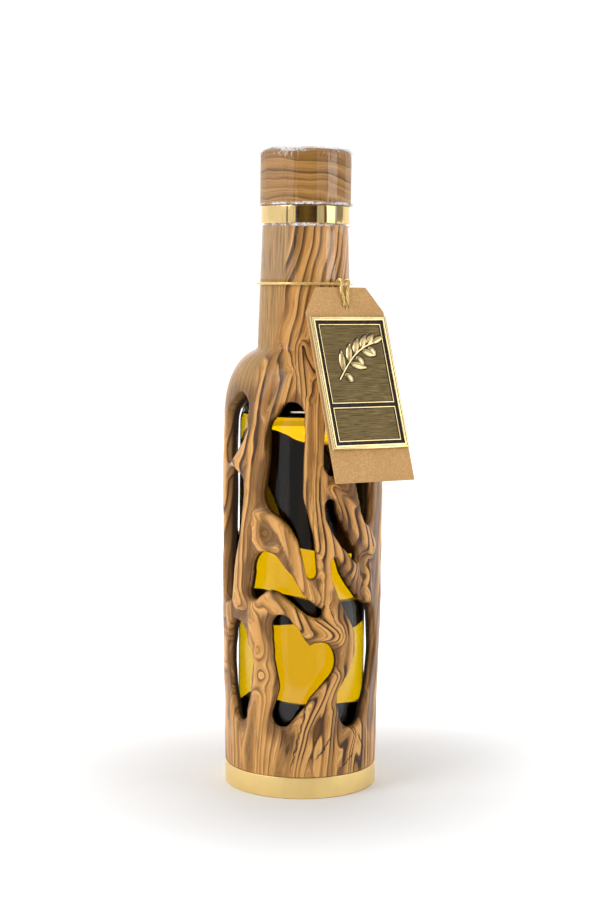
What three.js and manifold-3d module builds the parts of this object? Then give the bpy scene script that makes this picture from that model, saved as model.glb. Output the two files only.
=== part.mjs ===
// A 250 ml olive oil bottle in a carved olive wood case, in millimetres, +Z up, standing on z = 0.
// The front faces -Y. Angles round the bottle are in degrees, 0 at the front and growing to the right.
import * as THREE from 'three';
import { mergeVertices } from 'three/addons/utils/BufferGeometryUtils.js';
import Module from 'manifold-3d';

const wasm = await Module();
wasm.setup();

const GAP = 0.3;
const TURNED_SIDES = 32;
const BAND_SIDES = 40;

// Gold foot: a shallow dish that the case stands in
const BAND_RADIUS = 33;
const BAND_HEIGHT = 9.15;
const BAND_WALL = 1;
const BAND_BEVEL = 0.4;

// Carved case: a turned body with its shoulder and neck
const BELLY = [[10, 33], [30, 33.5], [68, 34.6], [97, 34.8], [138, 34.9], [161.5, 34.6]];
const SHOULDER_Z = 161.5;
const SHOULDER_HEIGHT = 28.3;
const SHOULDER_CORE = 17.4;
const SHOULDER_REACH = 17.2;
const NECK_FOOT = [193, 20.2];
const NECK_TOP = [242.5, 18.45];
const BORE_FLOOR = 13.7;
const BORE_CLEARANCE = 1.4;

// Carving: the grid that the openings are cut on, and how far their edges are rounded
const MAP_RADIUS = 34;
const FRONT_COLUMNS = 32;
const FRONT_SPAN = 92;
const BACK_COLUMNS = 14;
const COLUMNS = FRONT_COLUMNS + BACK_COLUMNS;
const CARVED_FROM = 22;
const CARVED_TO = 174;
const CARVED_ROWS = 35;
const SHOULDER_ROWS = [178, 182, 185.5, 188, 189.4, 215, NECK_TOP[0]];
const BORE_ROWS = [184, 179];
const EDGE_DROP = 2;
const EDGE_WIDTH = 4.5;
const LEAST_STEP = 0.12;

// Each opening is the sweep of a round cutter through its stations: angle, height and cutter radius
const OPENINGS = [
  // front, upper middle
  [[-9, 162.5, 6], [-13, 155.2, 8.6], [-13.8, 143.3, 8.3], [-15.8, 129.6, 9.5], [-4, 119.2, 5.2],
    [2, 111.7, 3.8], [5, 104.2, 3.2], [7.3, 96.4, 2.6]],
  // front, middle left, with its tail to the right
  [[-38.5, 87.6, 3.7], [-28, 97, 8.2], [-14, 92.3, 5.2], [-3.3, 85.5, 3.3], [6.5, 80.9, 2.9], [12.2, 79.5, 2.5]],
  // front, low: two lobes that meet like a heart
  [[-15.2, 73.5, 5.4], [-11.5, 68.4, 7.2], [-7, 60.8, 9.2], [-1.6, 52, 10.2], [-6, 44.1, 7.4], [-15, 35.3, 5.2]],
  [[-1.6, 52, 10.2], [13.8, 58.4, 8.7]],
  // right of the front, behind the tag
  [[23.6, 158, 4.5], [25.3, 148.6, 6.2], [23.9, 142.4, 5.3]],
  // right of the front, a slanting slot
  [[21, 124.9, 3.1], [22.6, 120.1, 3.3], [27.4, 115, 3.4], [33.2, 110, 3.2], [39.4, 105.7, 2.7], [43, 102.5, 2.2]],
  // right, low, a long sickle
  [[24.5, 101.2, 1.9], [27, 94.5, 2.9], [33.5, 88, 3.9], [44, 80, 5.6], [57, 73, 8.8], [60, 61, 9.6],
    [53, 50, 9.3], [44, 42, 9.6], [43.5, 36.5, 7.6]],
  // right, high
  [[50, 152, 6], [54, 135.3, 7], [57, 120.3, 4.5]],
  // left, from the shoulder down
  [[-56, 165, 6.6], [-63, 158.3, 10], [-74, 148.2, 7.6]],
  [[-64, 129.9, 9.5], [-67, 113.3, 9], [-71, 97.9, 7], [-73, 85.8, 5.5]],
  [[-58, 66.7, 7.5], [-57.5, 57, 11], [-56, 45.5, 8.5], [-54, 34.8, 4.5]],
  // back
  [[176, 40, 9.5], [181, 55, 12]],
  [[188, 92.5, 9.5], [171, 87.5, 10.5]],
  [[206, 131, 9], [203, 116, 9.5]],
  [[168, 153.6, 7], [174, 153.8, 7], [186, 156.8, 4]],
  [[246, 160, 6.5], [246, 146, 8.6], [244, 128, 8], [247, 112, 7]],
  [[243, 92, 6.5], [245, 78, 8.5], [244, 58, 9], [249, 36, 7]],
  [[113, 92, 6.5], [115, 78, 8.8], [114, 58, 9], [110, 38, 7]],
  [[112, 152, 7], [114, 138, 8.6], [111, 122, 7.5], [115, 108, 6]],
  [[147, 134, 5], [152, 122, 8], [148, 108, 6]],
];

// Hollows carved in the front, left as they fall: angle and height of both ends, half width and depth
const HOLLOWS = [
  [-29, 119, -25, 107, 3.6, 1.6],
  [-46, 98, -44, 40, 2.6, 1.5],
  [-30, 76, -27, 60, 3.4, 1.2],
  [30, 76, 22, 88, 3.2, 1.4],
  [52, 104, 47, 92, 4, 1.8],
  [14, 112, 10, 146, 2.4, 1],
  [-36, 132, -33, 160, 2.6, 1.2],
];

// Glass bottle
const GLASS_RADIUS = 27.5;
const GLASS_WALL = 2.5;
const GLASS_FLOOR = 14;
const GLASS_BASE = 4.5;
const GLASS_SHOULDER_Z = 157.5;
const GLASS_SHOULDER = 16;
const GLASS_SHOULDER_TURN = 65;
const GLASS_NECK = 13;
const GLASS_NECK_Z = 183;
const GLASS_TOP = 250.2;
const GLASS_FOOT_ROUND = 3;
const OIL_LEVEL = 160.9;

// Ring under the cap, and the cap
const RING_RADIUS = 19.46;
const RING_BORE = 13.5;
const RING_BOTTOM = 242.8;
const RING_TOP = 250.3;
const RING_BEVEL = 0.25;
const CAP_RADIUS = 19.5;
const CAP_BOTTOM = 250.6;
const CAP_CORNER_Z = 271.6;
const CAP_CORNER = 2.4;
const CAP_DOME = 0.7;

// Clear shrink film over the cap, the ring and the top of the neck: it is tight at its foot, stands a
// little off what it covers, and is puffed up over the top
const FILM = 0.2;
const FILM_SLACK = 0.5;
const FILM_PUFF = 0.8;
const FILM_BOTTOM = 219.3;
const FILM_NECK_TOP = 241;

// Gold cord round the neck and the hitch that holds the tag
const CORD = 1.3;
const CORD_SIDES = 8;
const CORD_Z = 217.5;
const CORD_RADIUS = 20.4;
const CORD_STEPS = 36;
const HITCH_ANGLE = 45.5;
const HITCH_BULGE = 1.9;
const HITCH_SPREAD = 14;
const HITCH_STEPS = 36;
const HITCH_TOP_HALF = 2.3;
const HITCH_HOLE_HALF = 0.76;
const BEAD_RADIUS = 2.1;

// Paper tag: card coordinates have their zero at the cord's hole, x across and z up the card
const TAG_HOLE = new THREE.Vector3(16.9, -20.1, 208.4);
const TAG_YAW = 30;
const TAG_LEAN = -20.4;
const TAG_HALF = 19;
const TAG_CENTRE_X = -0.6;
const TAG_TOP = 8.1;
const TAG_TOP_HALF = 12.2;
const TAG_SIDE_TOP = -2.9;
const TAG_BOTTOM = -76.4;
const TAG_THICK = 0.8;
const TAG_HOLE_RADIUS = 1.8;

// Brass plate on the tag
const PLATE_HALF = 18.4;
const PLATE_TOP = -5.4;
const PLATE_BOTTOM = -62.8;
const PLATE_SPLIT = -44;
const PLATE_THICK = 0.8;
const PLATE_FRAME = 1.9;
const PLATE_FRAME_PROUD = 0.7;
const PLATE_LINE_INSET = 3.3;
const PLATE_LINE = 0.5;
const PLATE_LINE_PROUD = 0.35;
const PLATE_SPLIT_HALF = 0.8;
const SPRIG_PROUD = 0.5;

const rad = THREE.MathUtils.degToRad;

function material(color, roughness, metalness, opacity = 1) {
  return new THREE.MeshStandardMaterial({ color, roughness, metalness, opacity, transparent: opacity < 1 });
}

const WOOD = material(0xbf9463, 0.5, 0);
const GLASS = material(0xe8eceb, 0.05, 0, 0.3);
const OIL = material(0xe0b010, 0.1, 0, 0.9);
const GOLD = material(0xe8c66a, 0.2, 1);
const SATIN_GOLD = material(0xe2c47c, 0.4, 1);
const CLEAR_FILM = material(0xf4f4f2, 0.15, 0, 0.2);
const CARD = material(0xc39a68, 0.85, 0);
const BRASS = material(0xb79a5a, 0.35, 1);
const CORD_GOLD = material(0xd9ad3c, 0.35, 0.6);

function named(name, geometry, look) {
  const mesh = new THREE.Mesh(geometry, look);
  mesh.name = name;
  return mesh;
}

function lathe(points, segments) {
  const outline = points.map(([r, z]) => new THREE.Vector2(r, z));
  return new THREE.LatheGeometry(outline, segments).rotateX(Math.PI / 2);
}

function around(degrees, radius, z) {
  return new THREE.Vector3(radius * Math.sin(rad(degrees)), -radius * Math.cos(rad(degrees)), z);
}

function along(points, at) {
  const last = points.length - 1;
  if (at <= points[0][0]) return points[0][1];
  if (at >= points[last][0]) return points[last][1];
  const k = points.findIndex(([z]) => z > at);
  const share = (at - points[k - 1][0]) / (points[k][0] - points[k - 1][0]);
  return THREE.MathUtils.lerp(points[k - 1][1], points[k][1], share);
}

function caseRadius(z) {
  if (z <= SHOULDER_Z) return along(BELLY, z);
  const neck = along([NECK_FOOT, NECK_TOP], z);
  const rise = (z - SHOULDER_Z) / SHOULDER_HEIGHT;
  if (rise >= 1) return neck;
  return Math.max(neck, SHOULDER_CORE + SHOULDER_REACH * Math.sqrt(1 - rise * rise));
}

// The bore keeps one clearance from the glass: straight, then round its shoulder, then up its neck
function boreRadius(z) {
  const turn = GLASS_SHOULDER + BORE_CLEARANCE;
  const rise = Math.max(0, z - GLASS_SHOULDER_Z);
  const shoulderEnd = turn * Math.sin(rad(GLASS_SHOULDER_TURN));
  const core = GLASS_RADIUS - GLASS_SHOULDER;
  if (rise <= shoulderEnd) return core + Math.sqrt(turn * turn - rise * rise);
  const endRadius = core + turn * Math.cos(rad(GLASS_SHOULDER_TURN));
  const neck = GLASS_NECK + BORE_CLEARANCE;
  return along([[GLASS_SHOULDER_Z + shoulderEnd, endRadius], [GLASS_NECK_Z, neck]], z);
}

// Distance on the unrolled case from a point to the line between two stations, and where along it
function toSegment(degrees, z, a, b) {
  const across = (from, to) => rad(THREE.MathUtils.euclideanModulo(to - from + 180, 360) - 180) * MAP_RADIUS;
  const [dx, dz] = [across(a[0], b[0]), b[1] - a[1]];
  const [px, pz] = [across(a[0], degrees), z - a[1]];
  const t = THREE.MathUtils.clamp((px * dx + pz * dz) / (dx * dx + dz * dz), 0, 1);
  return [Math.hypot(px - t * dx, pz - t * dz), t];
}

// Positive on wood and negative in an opening
function woodDistance(degrees, z) {
  let least = Infinity;
  for (const opening of OPENINGS) {
    for (let k = 1; k < opening.length; k++) {
      const [distance, t] = toSegment(degrees, z, opening[k - 1], opening[k]);
      const cutter = THREE.MathUtils.lerp(opening[k - 1][2], opening[k][2], t);
      least = Math.min(least, distance - cutter);
    }
  }
  return least;
}

function carvedRadius(degrees, z, distance) {
  const edge = Math.max(0, 1 - distance / EDGE_WIDTH);
  let hollow = 0;
  for (const [fromAngle, fromZ, toAngle, toZ, halfWidth, depth] of HOLLOWS) {
    const [away] = toSegment(degrees, z, [fromAngle, fromZ], [toAngle, toZ]);
    hollow = Math.max(hollow, depth * Math.exp(-((away / halfWidth) ** 2)));
  }
  return caseRadius(z) - Math.max(EDGE_DROP * edge * edge, hollow);
}

// Columns stand closer together at the front, where the carving is finest
function columnAngle(column) {
  if (column <= FRONT_COLUMNS) return FRONT_SPAN * ((2 * column) / FRONT_COLUMNS - 1);
  return FRONT_SPAN + (360 - 2 * FRONT_SPAN) * ((column - FRONT_COLUMNS) / BACK_COLUMNS);
}

// The case is a sheet with an outer and an inner skin, trimmed at the openings and joined there by walls
function carvedCase() {
  const outer = [];
  const inner = [];
  const known = new Map();
  const rowZ = (j) => THREE.MathUtils.lerp(CARVED_FROM, CARVED_TO, j / CARVED_ROWS);
  const field = [];
  for (let j = 0; j <= CARVED_ROWS; j++) {
    field.push([]);
    for (let i = 0; i < COLUMNS; i++) field[j].push(woodDistance(columnAngle(i), rowZ(j)));
  }
  const at = (i, j) => field[j][i % COLUMNS];

  function point(key, column, row) {
    if (!known.has(key)) {
      const [degrees, z] = [columnAngle(column), rowZ(row)];
      known.set(key, outer.length);
      outer.push(around(degrees, carvedRadius(degrees, z, Math.max(0, woodDistance(degrees, z))), z));
      inner.push(around(degrees, boreRadius(z), z));
    }
    return known.get(key);
  }

  function corner(i, j) {
    return point(`corner ${i % COLUMNS} ${j}`, i % COLUMNS, j);
  }

  function crossing(i, j, di, dj) {
    const [a, b] = [at(i, j), at(i + di, j + dj)];
    const share = THREE.MathUtils.clamp(a / (a - b), LEAST_STEP, 1 - LEAST_STEP);
    return point(`edge ${i % COLUMNS} ${j} ${di}`, i + di * share, j + dj * share);
  }

  const faces = [];
  for (let j = 0; j < CARVED_ROWS; j++) {
    for (let i = 0; i < COLUMNS; i++) {
      const ring = [[i, j], [i + 1, j], [i + 1, j + 1], [i, j + 1]];
      const sides = [[i, j, 1, 0], [i + 1, j, 0, 1], [i, j + 1, 1, 0], [i, j, 0, 1]];
      const loop = [];
      ring.forEach(([ci, cj], k) => {
        const [ni, nj] = ring[(k + 1) % ring.length];
        if (at(ci, cj) > 0) loop.push(corner(ci, cj));
        if (at(ci, cj) > 0 !== at(ni, nj) > 0) loop.push(crossing(...sides[k]));
      });
      for (let k = 2; k < loop.length; k++) faces.push([loop[0], loop[k - 1], loop[k]]);
    }
  }

  const positions = [...outer, ...inner];
  const shift = outer.length;
  const indices = [];
  const open = new Set();
  for (const [a, b, c] of faces) {
    indices.push(a, b, c, a + shift, c + shift, b + shift);
    for (const [from, to] of [[a, b], [b, c], [c, a]]) {
      if (!open.delete(`${to} ${from}`)) open.add(`${from} ${to}`);
    }
  }
  const rows = [0, CARVED_ROWS].map((j) => Array.from({ length: COLUMNS }, (_, i) => corner(i, j)));
  const ends = new Set(rows.flat());
  for (const side of open) {
    const [from, to] = side.split(' ').map(Number);
    if (ends.has(from) && ends.has(to)) continue;
    indices.push(to, from, from + shift, to, from + shift, to + shift);
  }

  function strip(from, to) {
    for (let i = 0; i < COLUMNS; i++) {
      const n = (i + 1) % COLUMNS;
      if (from.length > 1) indices.push(from[i], from[n], to[n % to.length]);
      if (to.length > 1) indices.push(from[i % from.length], to[n], to[i]);
    }
  }

  function ring([radius, z]) {
    const turns = radius > 0 ? COLUMNS : 1;
    const start = positions.length;
    for (let i = 0; i < turns; i++) positions.push(around(columnAngle(i), radius, z));
    return Array.from({ length: turns }, (_, i) => start + i);
  }

  function sheet(rings) {
    for (let k = 1; k < rings.length; k++) strip(rings[k - 1], rings[k]);
  }

  const [bottomRow, topRow] = rows;
  const inside = (row) => row.map((k) => k + shift);
  const spigot = BAND_RADIUS - BAND_WALL - GAP;
  const ledge = BAND_HEIGHT + GAP;
  const foot = [[0, BAND_WALL + GAP], [spigot, BAND_WALL + GAP], [spigot, ledge], [caseRadius(ledge), ledge]];
  sheet([...foot.map(ring), bottomRow]);
  sheet([inside(bottomRow), ...[[boreRadius(BORE_FLOOR), BORE_FLOOR], [0, BORE_FLOOR]].map(ring)]);
  const shoulder = SHOULDER_ROWS.map((z) => [caseRadius(z), z]);
  const throat = [NECK_TOP[0], ...BORE_ROWS].map((z) => [boreRadius(z), z]);
  sheet([topRow, ...[...shoulder, ...throat].map(ring), inside(topRow)]);

  const geometry = new THREE.BufferGeometry().setFromPoints(positions);
  geometry.setIndex(indices);
  return geometry;
}

function arc(centreR, centreZ, radius, fromDegrees, toDegrees, steps) {
  return Array.from({ length: steps + 1 }, (_, k) => {
    const turn = rad(THREE.MathUtils.lerp(fromDegrees, toDegrees, k / steps));
    return [centreR + radius * Math.cos(turn), centreZ + radius * Math.sin(turn)];
  });
}

function glassBottle() {
  const core = GLASS_RADIUS - GLASS_SHOULDER;
  const bore = GLASS_NECK - GLASS_WALL;
  const inside = GLASS_RADIUS - GLASS_WALL;
  const shoulder = (radius) => arc(core, GLASS_SHOULDER_Z, radius, 0, GLASS_SHOULDER_TURN, 3);
  return lathe([
    [0, GLASS_FLOOR],
    ...arc(GLASS_RADIUS - GLASS_FOOT_ROUND, GLASS_FLOOR + GLASS_FOOT_ROUND, GLASS_FOOT_ROUND, -90, 0, 2),
    ...shoulder(GLASS_SHOULDER),
    [GLASS_NECK, GLASS_NECK_Z],
    [GLASS_NECK, GLASS_TOP],
    [bore, GLASS_TOP],
    [bore, GLASS_NECK_Z - 1],
    ...shoulder(GLASS_SHOULDER - GLASS_WALL).reverse(),
    ...arc(inside - GLASS_FOOT_ROUND, GLASS_FLOOR + GLASS_BASE + GLASS_FOOT_ROUND, GLASS_FOOT_ROUND, 0, -90, 2),
    [0, GLASS_FLOOR + GLASS_BASE],
  ], TURNED_SIDES);
}

function oil() {
  const radius = GLASS_RADIUS - GLASS_WALL - GAP;
  const floor = GLASS_FLOOR + GLASS_BASE + GAP;
  const turn = GLASS_SHOULDER - GLASS_WALL - GAP;
  const rise = THREE.MathUtils.radToDeg(Math.asin((OIL_LEVEL - GLASS_SHOULDER_Z) / turn));
  return lathe([
    [0, floor],
    ...arc(radius - GLASS_FOOT_ROUND, floor + GLASS_FOOT_ROUND, GLASS_FOOT_ROUND, -90, 0, 2),
    ...arc(GLASS_RADIUS - GLASS_SHOULDER, GLASS_SHOULDER_Z, turn, 0, rise, 1),
    [0, OIL_LEVEL],
  ], TURNED_SIDES);
}

function baseBand() {
  return lathe([
    [0, 0],
    [BAND_RADIUS - BAND_BEVEL, 0],
    [BAND_RADIUS, BAND_BEVEL],
    [BAND_RADIUS, BAND_HEIGHT],
    [BAND_RADIUS - BAND_WALL, BAND_HEIGHT],
    [BAND_RADIUS - BAND_WALL, BAND_WALL],
    [0, BAND_WALL],
  ], BAND_SIDES);
}

function neckRing() {
  return lathe([
    [RING_BORE, RING_BOTTOM],
    [RING_RADIUS - RING_BEVEL, RING_BOTTOM],
    [RING_RADIUS, RING_BOTTOM + RING_BEVEL],
    [RING_RADIUS, RING_TOP - RING_BEVEL],
    [RING_RADIUS - RING_BEVEL, RING_TOP],
    [RING_BORE, RING_TOP],
    [RING_BORE, RING_BOTTOM],
  ], TURNED_SIDES);
}

// The cap's outline from its foot to the top, or the same outline moved outwards for the film
function capOutline(out, puff = 0) {
  const corner = arc(CAP_RADIUS - CAP_CORNER, CAP_CORNER_Z, CAP_CORNER + out, 0, 90, 3);
  return [...corner, [0, CAP_CORNER_Z + CAP_CORNER + CAP_DOME + out + puff]];
}

function woodCap() {
  return lathe([[0, CAP_BOTTOM], [CAP_RADIUS - CAP_DOME, CAP_BOTTOM], [CAP_RADIUS, CAP_BOTTOM + CAP_DOME],
    ...capOutline(0)], TURNED_SIDES);
}

function capFilm() {
  function outline(out) {
    const loose = out + FILM_SLACK;
    const round = RING_RADIUS + loose;
    return [
      [caseRadius(FILM_BOTTOM) + out, FILM_BOTTOM],
      [caseRadius(FILM_NECK_TOP) + loose, FILM_NECK_TOP],
      [round, RING_BOTTOM],
      [round, RING_TOP],
      [CAP_RADIUS + loose, RING_TOP + 2],
      ...capOutline(loose, FILM_PUFF),
    ];
  }
  return lathe([...outline(GAP + FILM).reverse(), ...outline(GAP)].reverse(), TURNED_SIDES);
}

function tubeSection() {
  const section = new THREE.Shape();
  for (let k = 0; k < CORD_SIDES; k++) {
    const turn = (k / CORD_SIDES) * 2 * Math.PI;
    const [x, y] = [(CORD / 2) * Math.cos(turn), (CORD / 2) * Math.sin(turn)];
    if (k === 0) section.moveTo(x, y);
    else section.lineTo(x, y);
  }
  return section;
}

function tube(curve, steps) {
  return new THREE.ExtrudeGeometry(tubeSection(), { steps, extrudePath: curve, bevelEnabled: false });
}

// The neck cord stands off the wood a little where the hitch passes behind it
function cordRadius(degrees) {
  return CORD_RADIUS + HITCH_BULGE * Math.exp(-(((degrees - HITCH_ANGLE) / HITCH_SPREAD) ** 2));
}

function neckCord() {
  const points = Array.from({ length: CORD_STEPS }, (_, k) => {
    const degrees = HITCH_ANGLE - 180 + (k / CORD_STEPS) * 360;
    return around(degrees, cordRadius(degrees), CORD_Z);
  });
  return tube(new THREE.CatmullRomCurve3(points, true), CORD_STEPS);
}

const TAG_TURN = new THREE.Matrix4()
  .makeRotationFromEuler(new THREE.Euler(rad(TAG_LEAN), 0, rad(TAG_YAW), 'ZXY'))
  .setPosition(TAG_HOLE);

function onTag(x, out, z) {
  return new THREE.Vector3(x, -out, z).applyMatrix4(TAG_TURN);
}

// One doubled cord: through the tag's hole, over the neck cord, across behind it and back the same way
function tagHitch() {
  const centre = around(HITCH_ANGLE, cordRadius(HITCH_ANGLE), CORD_Z);
  const outward = around(HITCH_ANGLE, 1, 0);
  const sideways = around(HITCH_ANGLE + 90, 1, 0);
  const turn = CORD + 2 * GAP;
  const near = (side, out, up) => centre.clone()
    .addScaledVector(sideways, side)
    .addScaledVector(outward, out)
    .add(new THREE.Vector3(0, 0, up));
  const half = (sign) => [
    onTag(sign * HITCH_HOLE_HALF, -3.2, -0.6),
    onTag(sign * HITCH_HOLE_HALF, -0.6, -0.2),
    onTag(sign * HITCH_HOLE_HALF, 0.9, 0.6),
    onTag(sign * 1, 1.5, 3.5),
    onTag(sign * 1.6, 1.6, 6.5),
    near(sign * HITCH_TOP_HALF, turn * 0.85, 0.9),
    near(sign * HITCH_TOP_HALF, 0, turn),
    near(sign * HITCH_TOP_HALF * 0.75, -turn * 0.95, 0.5),
  ];
  const points = [...half(-1), near(0, -turn, -0.5), ...half(1).reverse()];
  return tube(new THREE.CatmullRomCurve3(points, false, 'centripetal'), HITCH_STEPS);
}

function solid(geometry) {
  const plain = geometry.clone();
  plain.deleteAttribute('normal');
  plain.deleteAttribute('uv');
  const merged = mergeVertices(plain, 1e-4);
  const index = merged.index ? merged.index.array : [...Array(merged.attributes.position.count).keys()];
  return new wasm.Manifold(new wasm.Mesh({
    numProp: 3,
    vertProperties: Float32Array.from(merged.attributes.position.array),
    triVerts: Uint32Array.from(index),
  }));
}

function joined(geometries) {
  const result = geometries.map(solid).reduce((sum, next) => sum.add(next));
  const mesh = result.getMesh();
  const geometry = new THREE.BufferGeometry();
  geometry.setAttribute('position', new THREE.BufferAttribute(Float32Array.from(mesh.vertProperties), 3));
  geometry.setIndex(new THREE.BufferAttribute(Uint32Array.from(mesh.triVerts), 1));
  return geometry;
}

// A flat shape in card coordinates, from one distance in front of the card's middle to another
function slab(shape, from, to) {
  return new THREE.ExtrudeGeometry(shape, { depth: to - from, bevelEnabled: false, curveSegments: 5 })
    .rotateX(Math.PI / 2)
    .translate(0, -from, 0);
}

function frameShape(left, right, bottom, top, width) {
  const shape = new THREE.Shape([
    new THREE.Vector2(left, bottom),
    new THREE.Vector2(right, bottom),
    new THREE.Vector2(right, top),
    new THREE.Vector2(left, top),
  ]);
  if (width) {
    shape.holes.push(new THREE.Path([
      new THREE.Vector2(left + width, bottom + width),
      new THREE.Vector2(left + width, top - width),
      new THREE.Vector2(right - width, top - width),
      new THREE.Vector2(right - width, bottom + width),
    ]));
  }
  return shape;
}

function tagCard() {
  const [left, right] = [TAG_CENTRE_X - TAG_HALF, TAG_CENTRE_X + TAG_HALF];
  const shape = new THREE.Shape([
    new THREE.Vector2(left, TAG_BOTTOM),
    new THREE.Vector2(right, TAG_BOTTOM),
    new THREE.Vector2(right, TAG_SIDE_TOP),
    new THREE.Vector2(TAG_CENTRE_X + TAG_TOP_HALF, TAG_TOP),
    new THREE.Vector2(TAG_CENTRE_X - TAG_TOP_HALF, TAG_TOP),
    new THREE.Vector2(left, TAG_SIDE_TOP),
  ]);
  const hole = new THREE.Path();
  hole.absarc(0, 0, TAG_HOLE_RADIUS, 0, 2 * Math.PI, true);
  shape.holes.push(hole);
  return slab(shape, -TAG_THICK / 2, TAG_THICK / 2).applyMatrix4(TAG_TURN);
}

// A leaf with pointed ends, from its foot in the given direction
function leafShape(x, z, degrees, length, width) {
  const [cos, sin] = [Math.cos(rad(degrees)), Math.sin(rad(degrees))];
  const place = (u, v) => [x + u * cos - v * sin, z + u * sin + v * cos];
  const shape = new THREE.Shape();
  shape.moveTo(...place(0, 0));
  shape.quadraticCurveTo(...place(length * 0.45, -width), ...place(length, 0));
  shape.quadraticCurveTo(...place(length * 0.45, width), ...place(0, 0));
  return shape;
}

function oliveShape(x, z, degrees) {
  const shape = new THREE.Shape();
  shape.absellipse(x, z, 2.3, 1.6, 0, 2 * Math.PI, false, rad(degrees));
  return shape;
}

// A plain olive sprig: a curved stem with paired leaves and three olives
function sprig() {
  const stem = (t) => [THREE.MathUtils.lerp(-10, 9.5, t), -33 + 16 * t + 3 * Math.sin(t * Math.PI)];
  const shapes = [];
  const [stemHalf, stemSteps, pairs] = [0.4, 10, 5];
  const upper = [];
  const lower = [];
  for (let k = 0; k <= stemSteps; k++) {
    const [x, z] = stem(k / stemSteps);
    upper.push(new THREE.Vector2(x, z + stemHalf));
    lower.push(new THREE.Vector2(x, z - stemHalf));
  }
  shapes.push(new THREE.Shape([...lower, ...upper.reverse()]));
  for (let k = 0; k < pairs; k++) {
    const t = 0.14 + (k / pairs) * 0.86;
    const [x, z] = stem(t);
    const length = 9.5 - k * 0.7;
    shapes.push(leafShape(x, z, 88 - k * 9, length, 2.3));
    if (k % 2 === 1) shapes.push(leafShape(x, z, -14 - k * 3, length, 2.3));
    else shapes.push(oliveShape(x + 2.2, z - 2.4, -50));
  }
  shapes.push(leafShape(...stem(0.97), 28, 7, 2));
  return shapes;
}

function tagPlate() {
  const back = TAG_THICK / 2 + GAP;
  const front = back + PLATE_THICK;
  const sunk = back + PLATE_THICK / 2;
  const [left, right] = [TAG_CENTRE_X - PLATE_HALF, TAG_CENTRE_X + PLATE_HALF];
  const [inLeft, inRight] = [left + PLATE_LINE_INSET, right - PLATE_LINE_INSET];
  const [inTop, inBottom] = [PLATE_TOP - PLATE_LINE_INSET, PLATE_BOTTOM + PLATE_LINE_INSET];
  const pieces = [
    slab(frameShape(left, right, PLATE_BOTTOM, PLATE_TOP, 0), back, front),
    slab(frameShape(left, right, PLATE_BOTTOM, PLATE_TOP, PLATE_FRAME), sunk, front + PLATE_FRAME_PROUD),
    slab(frameShape(inLeft, inRight, PLATE_SPLIT + PLATE_SPLIT_HALF, inTop, PLATE_LINE), sunk,
      front + PLATE_LINE_PROUD),
    slab(frameShape(inLeft, inRight, inBottom, PLATE_SPLIT - PLATE_SPLIT_HALF, PLATE_LINE), sunk,
      front + PLATE_LINE_PROUD),
    ...sprig().map((shape) => slab(shape, sunk, front + SPRIG_PROUD)),
  ];
  return joined(pieces).applyMatrix4(TAG_TURN);
}

function hitchWithBead() {
  const bead = new THREE.SphereGeometry(BEAD_RADIUS, 8, 6);
  const middle = onTag(0, -TAG_THICK / 2 - GAP - BEAD_RADIUS, -0.6);
  bead.translate(middle.x, middle.y, middle.z);
  return joined([tagHitch(), bead]);
}

const bottle = new THREE.Group();
bottle.add(
  named('base_band', baseBand(), SATIN_GOLD),
  named('wood_case', carvedCase(), WOOD),
  named('glass_bottle', glassBottle(), GLASS),
  named('olive_oil', oil(), OIL),
  named('neck_ring', neckRing(), GOLD),
  named('wood_cap', woodCap(), WOOD),
  named('cap_film', capFilm(), CLEAR_FILM),
  named('neck_cord', neckCord(), CORD_GOLD),
  named('tag_hitch', hitchWithBead(), CORD_GOLD),
  named('tag_card', tagCard(), CARD),
  named('tag_plate', tagPlate(), BRASS),
);

export default bottle;
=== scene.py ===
# The looks of a 250 ml olive oil bottle in a carved olive wood case.
# Lengths in this file are in millimetres and become metres when a mesh is made.
# Angles round the bottle are in degrees, 0 at the front (-Y) and growing to the right (+X).
import math

import bmesh
import bpy
import numpy as np
from mathutils import Matrix, Vector


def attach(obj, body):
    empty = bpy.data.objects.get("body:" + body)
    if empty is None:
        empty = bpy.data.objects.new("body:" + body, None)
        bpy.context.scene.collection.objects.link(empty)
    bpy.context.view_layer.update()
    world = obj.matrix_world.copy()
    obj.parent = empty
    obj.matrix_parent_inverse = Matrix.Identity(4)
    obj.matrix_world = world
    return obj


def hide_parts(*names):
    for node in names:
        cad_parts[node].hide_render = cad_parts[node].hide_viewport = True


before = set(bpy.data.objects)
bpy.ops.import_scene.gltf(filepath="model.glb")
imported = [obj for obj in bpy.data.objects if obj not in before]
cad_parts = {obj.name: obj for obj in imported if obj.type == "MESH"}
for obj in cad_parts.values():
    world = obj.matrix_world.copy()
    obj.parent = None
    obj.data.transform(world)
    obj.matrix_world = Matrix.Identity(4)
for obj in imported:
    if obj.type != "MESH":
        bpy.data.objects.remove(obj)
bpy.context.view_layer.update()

MM = 0.001

# Sizes and places shared with the solids
BAND_RADIUS, BAND_HEIGHT, BAND_WALL = 33, 9.15, 1
BELLY = [[10, 33], [30, 33.5], [68, 34.6], [97, 34.8], [138, 34.9], [161.5, 34.6]]
SHOULDER_Z, SHOULDER_HEIGHT, SHOULDER_CORE, SHOULDER_REACH = 161.5, 28.3, 17.4, 17.2
NECK_FOOT, NECK_TOP = [193, 20.2], [242.5, 18.45]
BORE_FLOOR, BORE_CLEARANCE = 13.7, 1.4
MAP_RADIUS = 34
EDGE_ROUND = 1.5

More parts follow.
